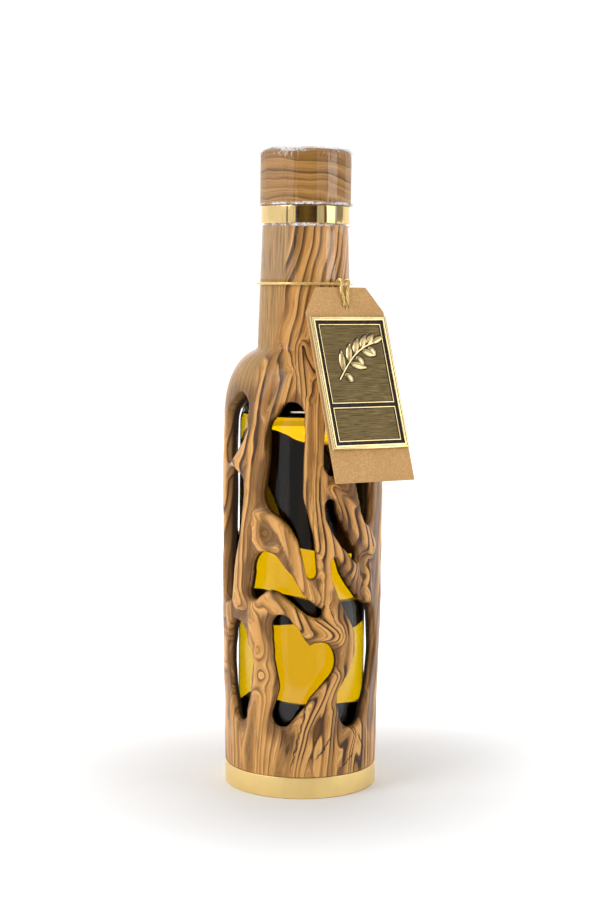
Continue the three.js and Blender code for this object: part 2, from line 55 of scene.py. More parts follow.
OPENINGS = [
    # front, upper middle
    [[-9, 162.5, 6], [-13, 155.2, 8.6], [-13.8, 143.3, 8.3], [-15.8, 129.6, 9.5], [-4, 119.2, 5.2],
     [2, 111.7, 3.8], [5, 104.2, 3.2], [7.3, 96.4, 2.6]],
    # front, middle left, with its tail to the right
    [[-38.5, 87.6, 3.7], [-28, 97, 8.2], [-14, 92.3, 5.2], [-3.3, 85.5, 3.3], [6.5, 80.9, 2.9],
     [12.2, 79.5, 2.5]],
    # front, low: two lobes that meet like a heart
    [[-15.2, 73.5, 5.4], [-11.5, 68.4, 7.2], [-7, 60.8, 9.2], [-1.6, 52, 10.2], [-6, 44.1, 7.4],
     [-15, 35.3, 5.2]],
    [[-1.6, 52, 10.2], [13.8, 58.4, 8.7]],
    # right of the front, behind the tag
    [[23.6, 158, 4.5], [25.3, 148.6, 6.2], [23.9, 142.4, 5.3]],
    # right of the front, a slanting slot
    [[21, 124.9, 3.1], [22.6, 120.1, 3.3], [27.4, 115, 3.4], [33.2, 110, 3.2], [39.4, 105.7, 2.7],
     [43, 102.5, 2.2]],
    # right, low, a long sickle
    [[24.5, 101.2, 1.9], [27, 94.5, 2.9], [33.5, 88, 3.9], [44, 80, 5.6], [57, 73, 8.8], [60, 61, 9.6],
     [53, 50, 9.3], [44, 42, 9.6], [43.5, 36.5, 7.6]],
    # right, high
    [[50, 152, 6], [54, 135.3, 7], [57, 120.3, 4.5]],
    # left, from the shoulder down
    [[-56, 165, 6.6], [-63, 158.3, 10], [-74, 148.2, 7.6]],
    [[-64, 129.9, 9.5], [-67, 113.3, 9], [-71, 97.9, 7], [-73, 85.8, 5.5]],
    [[-58, 66.7, 7.5], [-57.5, 57, 11], [-56, 45.5, 8.5], [-54, 34.8, 4.5]],
    # back
    [[176, 40, 9.5], [181, 55, 12]],
    [[188, 92.5, 9.5], [171, 87.5, 10.5]],
    [[206, 131, 9], [203, 116, 9.5]],
    [[168, 153.6, 7], [174, 153.8, 7], [186, 156.8, 4]],
    [[246, 160, 6.5], [246, 146, 8.6], [244, 128, 8], [247, 112, 7]],
    [[243, 92, 6.5], [245, 78, 8.5], [244, 58, 9], [249, 36, 7]],
    [[113, 92, 6.5], [115, 78, 8.8], [114, 58, 9], [110, 38, 7]],
    [[112, 152, 7], [114, 138, 8.6], [111, 122, 7.5], [115, 108, 6]],
    [[147, 134, 5], [152, 122, 8], [148, 108, 6]],
]
HOLLOWS = [
    [-29, 119, -25, 107, 3.6, 1.6],
    [-46, 98, -44, 40, 2.6, 1.5],
    [-30, 76, -27, 60, 3.4, 1.2],
    [30, 76, 22, 88, 3.2, 1.4],
    [52, 104, 47, 92, 4, 1.8],
    [14, 112, 10, 146, 2.4, 1],
    [-36, 132, -33, 160, 2.6, 1.2],
]

# Strands that the case is carved into: angle, height and half width along each
STRANDS = [
    [(-28, 189, 2.5), (-30, 177, 2.9), (-35, 159, 3.1), (-47, 146, 3.1), (-64, 137, 3.7)],
    [(-10, 178, 3.3), (-19, 166, 3.3), (-30, 154, 3.7), (-38, 144, 3.7), (-41, 134, 3.7),
     (-43, 125, 3.7), (-49, 114, 3.7), (-52, 96, 3.7), (-54, 83, 4.1)],
    [(-54, 85, 4.1), (-44, 81, 3.7), (-39, 78, 3.7)],
    [(-36, 67, 4.1), (-38, 76, 4.1), (-29, 84, 4.1), (-18, 84, 4.5), (-9, 82, 4.5), (-1, 77, 4.3),
     (7, 73, 3.9), (17, 72, 3.9), (26, 71, 3.7)],
    [(-36, 72, 3.7), (-31, 65, 4.3), (-29, 59, 4.5), (-29, 52, 5), (-30, 45, 4.8), (-35, 34, 4.5),
     (-38, 18, 5)],
    [(4, 169, 2.1), (3, 157, 1.9), (3, 144, 1.7), (3, 132, 1.9), (6, 119, 2.1), (12, 109, 2.3),
     (15, 96, 2.5)],
    [(13, 176, 2.9), (11, 161, 2.5), (11, 148, 2.3), (10, 135, 2.3), (13, 124, 2.5), (18, 111, 2.9),
     (20, 98, 2.9), (20, 88, 3.7), (23, 80, 4.1)],
    [(23, 80, 4.1), (32, 74, 4.1), (36, 67, 3.9), (37, 59, 3.7), (34, 52, 3.3), (26, 46, 3.3),
     (22, 37, 3.7)],
    [(-34, 120, 2.5), (-24, 119, 2.5), (-14, 115, 2.9), (-7, 108, 3.3), (-1, 99, 3.1), (3, 91, 2.7),
     (9, 86, 2.5)],
    [(-36, 118, 2.1), (-35, 110, 2.3), (-30, 106, 1.9), (-19, 107, 1.7)],
    [(14, 140, 2.1), (13, 128, 2.1), (17, 119, 2.5), (26, 109, 2.9), (39, 100, 3.3), (49, 93, 4.1)],
    [(22, 132, 2.1), (30, 127, 2.9), (41, 119, 3.3), (51, 112, 3.7), (61, 106, 3.7)],
    [(24, 52, 3.3), (16, 44, 3.3), (7, 37, 3.3), (0, 30, 3.3), (-5, 20, 3.3), (-8, 12, 3.3)],
    [(22, 37, 3.3), (20, 27, 3.3), (16, 13, 3.7)],
    [(41, 26, 2.9), (35, 19, 3.3), (35, 11, 3.3)],
    [(-3, 190, 2.9), (1, 180, 3.3), (5, 170, 3.3)],
    [(55, 100, 2.5), (59, 83, 2.5), (62, 61, 2.7), (59, 43, 2.9), (53, 31, 3.7), (55, 13, 3.7)],
    [(-71, 134, 2.5), (-72, 108, 2.5), (-71, 81, 2.5), (-66, 56, 2.5), (-64, 38, 2.9), (-60, 17, 3.7)],
]
# Knots: angle, height and radius of their rings
KNOTS = [(-29, 52.4, 5), (12, 100.3, 3), (-28.5, 113, 4.5), (-63, 138.5, 4.5), (53, 94, 4.5)]
# Where the dark lines are strong: angle, height and reach in millimetres
FIGURED = [(14, 222, 26), (0, 186, 16), (-17, 172, 10), (-34, 156, 8), (-48, 146, 6), (-63, 138, 9),
           (-18, 80, 10), (4, 76, 8), (-29, 52, 7), (6, 32, 14), (36, 110, 14), (54, 92, 12), (24, 76, 8),
           (48, 20, 9), (34, 48, 8), (8, 128, 8)]
# Drying cracks in the foot: angle and height of both ends
CRACKS = [((5.4, 43), (-7.6, 12)), ((24, 27), (11.7, 17)), ((43, 18), (33, 13)), ((36, 36), (44, 26)),
          ((48, 26), (55, 18))]

GLASS_RADIUS, GLASS_WALL, GLASS_FLOOR, GLASS_BASE, GLASS_FOOT = 27.5, 2.5, 14, 4.5, 3
GLASS_SHOULDER_Z, GLASS_SHOULDER, GLASS_TURN = 157.5, 16, 65
GLASS_NECK, GLASS_NECK_Z, GLASS_TOP = 13, 183, 250.2
OIL_LEVEL = 160.9
RING_RADIUS, RING_BORE, RING_BOTTOM, RING_TOP = 19.46, 13.5, 242.8, 250.3
CAP_RADIUS, CAP_BOTTOM, CAP_CORNER_Z, CAP_CORNER, CAP_DOME = 19.5, 250.6, 271.6, 2.4, 0.7
FILM, FILM_GAP, FILM_BOTTOM, FILM_NECK_TOP = 0.2, 0.3, 219.3, 241
FILM_SLACK, FILM_PUFF = 0.5, 0.8
CORD, CORD_Z, CORD_RADIUS = 1.3, 217.5, 20.4
HITCH_ANGLE, HITCH_BULGE, HITCH_SPREAD = 45.5, 1.9, 14
HITCH_TURN, HITCH_TOP_HALF, HITCH_HOLE_HALF, BEAD_RADIUS = 1.9, 2.3, 0.76, 2.1
TAG_HOLE, TAG_YAW, TAG_LEAN = (16.9, -20.1, 208.4), 30, -20.4
TAG_HALF, TAG_CENTRE_X, TAG_TOP, TAG_TOP_HALF = 19, -0.6, 8.1, 12.2
TAG_SIDE_TOP, TAG_BOTTOM, TAG_THICK, TAG_HOLE_RADIUS = -2.9, -76.4, 0.8, 1.8
PLATE_HALF, PLATE_TOP, PLATE_BOTTOM, PLATE_SPLIT = 18.4, -5.4, -62.8, -44
PLATE_THICK, PLATE_FRAME, PLATE_FRAME_PROUD = 0.8, 1.9, 0.7
PLATE_LINE_INSET, PLATE_LINE, PLATE_LINE_PROUD, PLATE_SPLIT_HALF, SPRIG_PROUD = 3.3, 0.5, 0.35, 0.8, 0.5


# Meshes
def around(degrees, radius, z):
    turn = np.radians(degrees)
    return np.stack(np.broadcast_arrays(radius * np.sin(turn), -radius * np.cos(turn), z), axis=-1)


def unrolled(start, end):
    """The way from one angle to another on the unrolled case, in millimetres."""
    return np.radians((end - start + 180) % 360 - 180) * MAP_RADIUS


def mesh_object(name, points, faces, materials):
    """A smooth object in the scene, from points in millimetres."""
    mesh = bpy.data.meshes.new(name)
    mesh.from_pydata((np.asarray(points, float) * MM).tolist(), [], faces)
    for material in materials:
        mesh.materials.append(material)
    mesh.polygons.foreach_set("use_smooth", np.ones(len(mesh.polygons), bool))
    obj = bpy.data.objects.new(name, mesh)
    bpy.context.scene.collection.objects.link(obj)
    return obj


def make(name, points, faces, materials, replaced, sharp=40, marks=None, face_slots=None):
    """One piece: its mesh and materials, and the solid that it stands for."""
    obj = mesh_object(name, points, faces, materials)
    mesh = obj.data
    if face_slots is not None:
        mesh.polygons.foreach_set("material_index", np.asarray(face_slots, np.int32))
    for label, values in (marks or {}).items():
        layer = mesh.attributes.new(label, "FLOAT", "POINT")
        layer.data.foreach_set("value", np.asarray(values, np.float32))
    mesh.set_sharp_from_angle(angle=math.radians(sharp))
    mesh.update()
    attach(obj, "root")
    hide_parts(*replaced)


def strip(low, high):
    """Faces between two rings of point numbers, either of which may be a single point."""
    faces = []
    for i in range(max(len(low), len(high))):
        n = i + 1
        a, b = low[i % len(low)], low[n % len(low)]
        c, d = high[n % len(high)], high[i % len(high)]
        if len(low) == 1:
            faces.append((a, c, d))
        elif len(high) == 1:
            faces.append((a, b, c))
        else:
            faces.append((a, b, c, d))
    return faces


def lathe(profile, sides, closed=False):
    points, rings, faces = [], [], []
    for r, z in profile:
        count = sides if r > 1e-6 else 1
        rings.append(list(range(len(points), len(points) + count)))
        points.extend(around(np.arange(count) * 360 / sides, r, z).tolist())
    pairs = list(zip(rings, rings[1:])) + ([(rings[-1], rings[0])] if closed else [])
    for low, high in pairs:
        faces += strip(low, high)
    return np.array(points), faces


def arc(centre_r, centre_z, radius, start, end, steps):
    turns = np.radians(np.linspace(start, end, steps + 1))
    return [(centre_r + radius * math.cos(t), centre_z + radius * math.sin(t)) for t in turns]


def soften(profile, amount, steps=4):
    """The same outline with its corners rounded."""
    out = [profile[0]]
    for before, here, after in zip(profile, profile[1:], profile[2:]):
        before, here, after = map(np.array, (before, here, after))
        ways = [before - here, after - here]
        sizes = [np.linalg.norm(way) for way in ways]
        start, end = (here + way * (min(amount, size * 0.45) / size) for way, size in zip(ways, sizes))
        for t in np.linspace(0, 1, steps + 1):
            out.append(tuple((1 - t) ** 2 * start + 2 * t * (1 - t) * here + t * t * end))
    return out + [profile[-1]]


def wobble(points, length, seed, count=14):
    """A smooth field of about -1 to 1 that changes over the given length."""
    rng = np.random.default_rng(seed)
    ways = rng.normal(size=(count, 3))
    ways /= np.linalg.norm(ways, axis=1)[:, None]
    waves = ways.T * 2 * math.pi / (length * rng.uniform(0.7, 1.5, count))
    return np.sin(points @ waves + rng.uniform(0, 2 * math.pi, count)).mean(axis=1) * 3


def smooth_step(low, high, value):
    t = np.clip((value - low) / (high - low), 0, 1)
    return t * t * (3 - 2 * t)


# The carved case
# The plain grain: its direction, the height where its lean changes, and its lean below and above
GRAIN_X, GRAIN_Y, GRAIN_TURN_Z, GRAIN_LEANS = 0.94, 0.34, 190, (0.12, 0.22)
# The plain grain's weight, how fast a strand's weight falls off beside it, a knot's weight, and how
# straight the layers of a strand run
PLAIN_WEIGHT, STRAND_FALL, KNOT_WEIGHT, STRAND_HOLD = 0.35, 1.3, 2.5, 0.6
# Strands that end below the first height run on to the second
LOW_END_Z, RUN_ON_Z = 40, -40
# The mesh: half width of its fine front in degrees, and its columns there and at the back
FRONT_HALF, FRONT_COLUMNS, BACK_COLUMNS = 92, 129, 67
# The carving: depth between strands, share of the hollows and deepest cut
RELIEF, HOLLOW_SHARE, DEEPEST = 1.35, 0.7, 3.2
# Where the carving and the unevenness fade, by height at the foot and the top, and by angle to the back
CARVED_FOOT, CARVED_TOP, CARVED_TURN = (17, 32), (166, 186), (72, 90)
UNEVEN_FOOT, UNEVEN_TOP = (20, 34), (168, 184)
# Up to which height the foot stands back inside its band and at the band's lip, and by how much
FOOT_END, FOOT_GAP, LIP_END, LIP_GAP = 9.12, 0.3, 9.2, 0.45
# From which height the neck stands back under its ring, and by how much
RING_START, RING_GAP = 242.3, 0.3


def case_radius(z):
    z = np.asarray(z, float)
    belly = np.interp(z, *np.array(BELLY).T)
    neck = np.interp(z, *np.array([NECK_FOOT, NECK_TOP]).T)
    rise = np.clip((z - SHOULDER_Z) / SHOULDER_HEIGHT, 0, 1)
    shoulder = np.maximum(neck, SHOULDER_CORE + SHOULDER_REACH * np.sqrt(1 - rise * rise))
    return np.where(z <= SHOULDER_Z, belly, np.where(rise < 1, shoulder, neck))


def bore_radius(z):
    turn, core = GLASS_SHOULDER + BORE_CLEARANCE, GLASS_RADIUS - GLASS_SHOULDER
    rise = np.maximum(0, np.asarray(z, float) - GLASS_SHOULDER_Z)
    top = turn * math.sin(math.radians(GLASS_TURN))
    end = core + turn * math.cos(math.radians(GLASS_TURN))
    round_part = core + np.sqrt(np.maximum(turn * turn - rise * rise, 0))
    cone = np.interp(z, [GLASS_SHOULDER_Z + top, GLASS_NECK_Z], [end, GLASS_NECK + BORE_CLEARANCE])
    return np.where(rise <= top, round_part, cone)


def to_segment(degrees, z, a, b):
    """Distance from points to a line between two stations, the share along it, the side and its length."""
    dx, dz = unrolled(a[0], b[0]), b[1] - a[1]
    px, pz = unrolled(a[0], degrees), z - a[1]
    t = np.clip((px * dx + pz * dz) / (dx * dx + dz * dz), 0, 1)
    side = px * dz - pz * dx
    return np.hypot(px - t * dx, pz - t * dz), t, np.where(side < 0, -1.0, 1.0), math.hypot(dx, dz)


def wood_distance(degrees, z):
    """How far points lie in the wood, less than 0 in an opening."""
    least = np.full(np.shape(z), 1e9)
    for opening in OPENINGS:
        for a, b in zip(opening, opening[1:]):
            away, t, _, _ = to_segment(degrees, z, a, b)
            least = np.minimum(least, away - (a[2] + (b[2] - a[2]) * t))
    return least


def relief(degrees, z):
    """How far the strands stand up: 1 on a strand's crest, 0 between strands."""
    height = np.zeros(len(z))
    for strand in STRANDS:
        for a, b in zip(strand, strand[1:]):
            away, t, _, _ = to_segment(degrees, z, a, b)
            width = (a[2] + (b[2] - a[2]) * t) * 1.25
            height = np.maximum(height, np.sqrt(np.clip(1 - (away / width) ** 2, 0, 1)))
    return height


def grain_of(degrees, z, points):
    """Two coordinates in millimetres for the wood figure: across the growth layers, and along the fibres."""
    lean = np.where(z > GRAIN_TURN_Z, GRAIN_LEANS[1], GRAIN_LEANS[0]) * (z - GRAIN_TURN_Z)
    plain = GRAIN_X * points[:, 0] + GRAIN_Y * points[:, 1] - lean
    plain = plain + 1.3 * wobble(points, 60, 3) + 0.5 * wobble(points, 17, 4)
    total, across, along = np.full(len(z), PLAIN_WEIGHT), plain * PLAIN_WEIGHT, z * PLAIN_WEIGHT
    for strand in STRANDS:
        if strand[-1][1] < LOW_END_Z:
            strand = strand + [(strand[-1][0], RUN_ON_Z, strand[-1][2])]
        middle = STRAND_HOLD * np.mean([station[0] for station in strand])
        best, offset, place, run = np.full(len(z), 1e9), np.zeros(len(z)), np.zeros(len(z)), 0.0
        for a, b in zip(strand, strand[1:]):
            away, t, side, length = to_segment(degrees, z, a, b)
            near = away / (a[2] + (b[2] - a[2]) * t)
            here = np.radians(middle + (1 - STRAND_HOLD) * (a[0] + (b[0] - a[0]) * t)) * MAP_RADIUS
            offset = np.where(near < best, here - side * away, offset)
            place = np.where(near < best, run + t * length, place)
            best = np.minimum(near, best)
            run += length
        weight = np.exp(-STRAND_FALL * best ** 2)
        total += weight
        across += weight * offset
        along += weight * (z * 0.4 - place)
    for angle, height, radius in KNOTS:
        away = np.hypot(unrolled(angle, degrees), z - height)
        weight = KNOT_WEIGHT * np.exp(-((away / radius) ** 2))
        total += weight
        across += weight * (unrolled(0, angle) + 1.5 * away)
        along += weight * height
    return across / total, along / total


def carved_case(material):
    columns = np.concatenate([np.linspace(-FRONT_HALF, FRONT_HALF, FRONT_COLUMNS),
                              np.linspace(FRONT_HALF, 360 - FRONT_HALF, BACK_COLUMNS)[1:-1]])
    rows = np.concatenate([[1.3, 9.1, 9.14, 9.5, 9.9, 11], np.arange(12.4, 20, 1.3), np.arange(20, 177, 0.9),
                           np.arange(177, 193, 1.1), np.arange(193, 241.5, 2), [242.1, NECK_TOP[0]]])
    count = len(columns)
    first_inside = int(np.searchsorted(rows, BORE_FLOOR))
    angles, heights = np.meshgrid(columns, rows)
    field = wood_distance(angles, heights)
    solid = field > 0
    number = np.full(field.shape, -1)
    number[solid] = np.arange(solid.sum())
    degrees, zs, edge_gap = list(angles[solid]), list(heights[solid]), list(field[solid])

    def angle_at(i):
        return columns[i % count] + 360 * (i // count)

    known = {}

    def crossing(i, j, di, dj):
        key = (i % count, j, di)
        if key not in known:
            here, there = field[j, i % count], field[j + dj, (i + di) % count]
            share = min(max(here / (here - there), 0.12), 0.88)
            known[key] = len(zs)
            degrees.append(angle_at(i) + (angle_at(i + di) - angle_at(i)) * share)
            zs.append(rows[j] + (rows[j + dj] - rows[j]) * share)
            edge_gap.append(0.0)
        return known[key]

    faces, inner_faces, rims = [], [], []
    for j in range(len(rows) - 1):
        for i in range(count):
            ring = [(i, j), (i + 1, j), (i + 1, j + 1), (i, j + 1)]
            inside = [solid[cj, ci % count] for ci, cj in ring]
            if not any(inside):
                continue
            if all(inside):
                loop = [int(number[cj, ci % count]) for ci, cj in ring]
            else:
                sides = [(i, j, 1, 0), (i + 1, j, 0, 1), (i, j + 1, 1, 0), (i, j, 0, 1)]
                loop, cuts = [], []
                for k, (ci, cj) in enumerate(ring):
                    if inside[k]:
                        loop.append(int(number[cj, ci % count]))
                    if inside[k] != inside[(k + 1) % 4]:
                        loop.append(crossing(*sides[k]))
                        cuts.append((inside[k], loop[-1]))
                cuts = cuts if cuts[0][0] else cuts[1:] + cuts[:1]
                rims += [(cuts[k][1], cuts[k + 1][1]) for k in range(0, len(cuts), 2)]
            faces.append(loop)
            if j >= first_inside:
                inner_faces.append(loop[::-1])

    degrees, zs, edge_gap = np.array(degrees), np.array(zs), np.array(edge_gap)
    outside = around(degrees, case_radius(zs), zs)
    rounding = 2.4 + 0.6 * wobble(outside, 25, 7)
    near = np.clip(1 - edge_gap / rounding, 0, 1)
    drop = EDGE_ROUND * (1 - np.sqrt(1 - near * near))
    turned = np.abs((degrees + 180) % 360 - 180)
    carved = smooth_step(*CARVED_FOOT, zs) * (1 - smooth_step(*CARVED_TOP, zs))
    carved = carved * (1 - smooth_step(*CARVED_TURN, turned))
    sunk = RELIEF * carved * (1 - relief(degrees, zs))
    hollow = np.zeros(len(zs))
    for from_angle, from_z, to_angle, to_z, half_width, depth in HOLLOWS:
        away, _, _, _ = to_segment(degrees, zs, (from_angle, from_z), (to_angle, to_z))
        hollow = np.maximum(hollow, depth * np.exp(-((away / half_width) ** 2)))
    worked = smooth_step(*UNEVEN_FOOT, zs) * (1 - smooth_step(*UNEVEN_TOP, zs))
    uneven = worked * (0.16 * (1 + wobble(outside, 22, 11)) + 0.07 * (1 + wobble(outside, 7, 12)))
    lowered = np.sqrt(drop ** 2 + sunk ** 2 + (HOLLOW_SHARE * hollow) ** 2) + uneven
    radius = case_radius(zs) - np.clip(lowered, 0, DEEPEST)
    radius = np.where(zs < LIP_END, BAND_RADIUS - LIP_GAP, radius)
    radius = np.where(zs < FOOT_END, BAND_RADIUS - BAND_WALL - FOOT_GAP, radius)
    radius = np.where(zs > RING_START, radius - RING_GAP, radius)
    inner_radius = bore_radius(zs)
    points = [around(degrees, radius, zs), around(degrees, inner_radius, zs)]

    shift = len(zs)
    faces += [[k + shift for k in loop] for loop in inner_faces]
    rim_numbers = sorted({k for pair in rims for k in pair})
    place = {k: n for n, k in enumerate(rim_numbers)}
    start = 2 * shift
    for share in (0.22, 0.6):
        level = radius[rim_numbers] + (inner_radius[rim_numbers] - radius[rim_numbers]) * share
        points.append(around(degrees[rim_numbers], level, zs[rim_numbers]))
    levels = [lambda k: k, lambda k: start + place[k],
              lambda k: start + len(place) + place[k], lambda k: k + shift]
    for a, b in rims:
        for top, below in zip(levels, levels[1:]):
            faces.append([top(b), top(a), below(a), below(b)])

    def row(j, lift=0):
        return [int(number[j, i]) + lift for i in range(count)]

    total = start + 2 * len(place)
    points.append([[0, 0, rows[0]], [0, 0, BORE_FLOOR]])
    faces += strip([total], row(0)) + strip(row(first_inside, shift), [total + 1])
    faces += strip(row(-1), row(-1, shift))
    points = np.concatenate([np.asarray(p, float) for p in points])
    all_degrees = np.degrees(np.arctan2(points[:, 0], -points[:, 1]))
    across, along = grain_of(all_degrees, points[:, 2], points)
    depth = np.zeros(len(points))
    depth[:shift] = np.clip(sunk + 0.6 * hollow, 0, 2)
    edge = np.ones(len(points))
    edge[:shift] = near
    # How far into the case a point lies: 0 on the outer face, more down the openings' walls, 1 inside; the
    # wood is painted darker by it, a painted shade
    inside = np.ones(len(points))
    inside[:shift] = 0
    inside[start:start + len(place)] = 0.15
    inside[start + len(place):total] = 0.5
    border = np.interp(points[:, 2], [160, 190, 241], [-34, -38, -14])
    side = (all_degrees - border + 180) % 360 - 180
    sapwood = smooth_step(0, 7, -side + 1.5 * wobble(points, 20, 21)) * smooth_step(-215, -150, side)
    sapwood = sapwood * smooth_step(150, 172, points[:, 2]) * (1 - smooth_step(120, 160, -side))
    figured = 0.4 * smooth_step(70, 80, np.abs((all_degrees + 180) % 360 - 180))
    for angle, height, reach in FIGURED:
        away = np.hypot(unrolled(angle, all_degrees), points[:, 2] - height)
        figured = np.maximum(figured, 1 - smooth_step(0.6, 1.5, away / reach))
    marks = {"figured": figured, "across": across, "along": along, "depth": depth, "edge": edge,
             "inside": inside, "sapwood": sapwood}
    make("carved_case", points, faces, [material], ["wood_case"], 48, marks)


# Materials
class Value:
    """A node's output. Plain arithmetic on it makes math nodes."""

    def __init__(self, look, socket):
        self.look, self.socket = look, socket

    def __add__(self, other):
        return self.look.math("ADD", self, other)

    def __sub__(self, other):
        return self.look.math("SUBTRACT", self, other)

    def __rsub__(self, other):
        return self.look.math("SUBTRACT", other, self)

    def __mul__(self, other):
        return self.look.math("MULTIPLY", self, other)


class Look:
    """The node tree of a material or a world. Each input is a number, a colour or a Value."""

    def __init__(self, name, owners="materials"):
        self.owner = getattr(bpy.data, owners).new(name)
        self.owner.use_nodes = True
        self.tree = self.owner.node_tree
        self.tree.nodes.clear()

    def node(self, kind, inputs, output=0, **settings):
        made = self.tree.nodes.new("ShaderNode" + kind)
        for key, value in settings.items():
            setattr(made, key, value)
        for key, value in inputs.items():
            socket = made.inputs[key]
            if isinstance(value, Value):
                self.tree.links.new(value.socket, socket)
            else:
                socket.default_value = (*value, 1) if socket.type == "RGBA" else value
        return Value(self, made.outputs[output])

    def attribute(self, name):
        return self.node("Attribute", {}, "Fac", attribute_name=name)

    def place(self):
        return self.node("TexCoord", {}, "Object")

    def axes(self, vector):
        split = self.node("SeparateXYZ", {0: vector}).socket.node
        return [Value(self, socket) for socket in split.outputs]

    def vector(self, x, y, z):
        return self.node("CombineXYZ", {0: x, 1: y, 2: z})

    def math(self, operation, a, b=0.0, clamp=False):
        return self.node("Math", {0: a, 1: b}, operation=operation, use_clamp=clamp)

    def step(self, value, low, high, to_low=0.0, to_high=1.0):
        inputs = {"Value": value, "From Min": low, "From Max": high, "To Min": to_low, "To Max": to_high}
        return self.node("MapRange", inputs, "Result", interpolation_type="SMOOTHSTEP")

    def noise(self, vector, scale=1.0, detail=4.0, rough=0.5):
        inputs = {"Vector": vector, "Scale": scale, "Detail": detail, "Roughness": rough}
        return self.node("TexNoise", inputs, "Fac")

    def mix(self, factor, a, b):
        return self.node("Mix", {0: factor, 6: a, 7: b}, 2, data_type="RGBA")

    def bump(self, height, strength, distance):
        return self.node("Bump", {"Height": height, "Strength": strength, "Distance": distance * MM})

    def principled(self, **inputs):
        return self.node("BsdfPrincipled", {key.replace("_", " "): value for key, value in inputs.items()})

    def finish(self, surface, volume=None, kind="OutputMaterial"):
        output = self.tree.nodes.new("ShaderNode" + kind)
        self.tree.links.new(surface.socket, output.inputs["Surface"])
        if volume:
            self.tree.links.new(volume.socket, output.inputs["Volume"])
        return self.owner


LIGHT_WOOD, WARM_WOOD, BROWN_WOOD = (0.74, 0.385, 0.118), (0.47, 0.22, 0.052), (0.15, 0.060, 0.013)
PALE_FIBRE, DARK_VEIN = (0.88, 0.53, 0.23), (0.040, 0.015, 0.005)
SAP_LIGHT, SAP_DARK = (0.47, 0.27, 0.098), (0.20, 0.105, 0.034)
# The first two colours are painted shade, in the carving's sinks and at the openings' edges; the third is the
# cracks' own dark
SUNK_SHADE_PAINT, EDGE_SHADE_PAINT, CRACK_WOOD = (0.10, 0.040, 0.012), (0.12, 0.05, 0.017), (0.018, 0.010, 0.006)
# The first is painted shade for the inside of the case and the openings' walls; the second is the cap's stain
INSIDE_SHADE_PAINT, CAP_STAIN = (0.030, 0.015, 0.007), (0.17, 0.080, 0.014)


def wood_figure(look, across, along, seed, spacing=3.8, bold=1.0, figured=1.0):
    """Olive wood: layers that each end in a dark line of its own strength, finer lines, and fibres."""
    def noise(field, wide, long, shift, **settings):
        return look.noise(look.vector(field * wide, along * long, seed + shift), **settings)

    slow = noise(across, 0.035, 0.005, 0.0, detail=1.0) - 0.5
    quick = noise(across, 0.16, 0.016, 3.0, detail=2.0) - 0.5
    bent = across + slow * 5.0 + quick * 0.7
    bent = bent + look.noise(look.vector(bent * 0.14, seed, 4.0), detail=1.0) * 7.0

    def lines(gap, rise, fall):
        """Across each layer from 0 to 1, a line at its start, and a random strength of its own."""
        count = look.math("DIVIDE", bent, gap)
        share = look.math("FRACT", count)
        number = look.node("TexWhiteNoise", {"W": look.math("FLOOR", count)}, "Value", noise_dimensions="1D")
        after, before = look.step(share, 0.06, fall, 1.0, 0.0), look.step(share, 1.0 - rise, 0.97)
        line = look.math("MAXIMUM", after, before)
        return share, line, number

    share, line, number = lines(spacing, 0.15, 0.34)
    patch = noise(bent, 0.09, 0.012, 9.0)
    strength = look.step(number, 0.1, 0.6, 0.4 * bold ** 3, bold) * look.step(patch, 0.32, 0.52, 0.6, 1.0)
    strength = strength * look.step(figured, 0.0, 1.0, 0.3, 1.0)
    fibre = noise(across, 1.5, 0.07, 0.0, detail=5.0, rough=0.65)
    _, hair, fine = lines(spacing / 3.7, 0.1, 0.35)
    body = look.mix(look.step(share, 0.15, 0.95, 0.9, 0.0), LIGHT_WOOD, WARM_WOOD)
    for darker in (look.step(share, 0.0, 0.5, 1.0, 0.0) * strength * 0.8,
                   look.step(look.math("FRACT", number * 7.0), 0.6, 0.8, 0.0, 0.5),
                   hair * fine * look.step(patch, 0.42, 0.62, 0.12, 0.7),
                   look.step(fibre, 0.48, 0.70, 0.0, 0.6)):
        body = look.mix(darker, body, BROWN_WOOD)
    body = look.mix(look.step(fibre, 0.45, 0.28, 0.0, 0.5), body, PALE_FIBRE)
    vein = look.math("MULTIPLY", line * strength, 1.7, clamp=True)
    return look.mix(vein * 0.93, body, DARK_VEIN), vein, fibre


def crack(look, u, v, start, end):
    """A dark drying crack between two places on the unrolled case, each an angle and a height."""
    start_u, end_u = float(unrolled(0, start[0])), float(unrolled(0, end[0]))
    du, dv = end_u - start_u, end[1] - start[1]
    size = du * du + dv * dv
    pu, pv = u - start_u, v - start[1]
    along = look.math("ADD", pu * (du / size), pv * (dv / size), clamp=True)
    off_u, off_v = pu - along * du, pv - along * dv
    away = look.math("SQRT", off_u * off_u + off_v * off_v)
    taper = along * (1.0 - along) * 4.0
    return look.step(away, 0.12, 0.55, 1.0, 0.0) * look.step(taper, 0.0, 0.5, 0.3, 1.0)


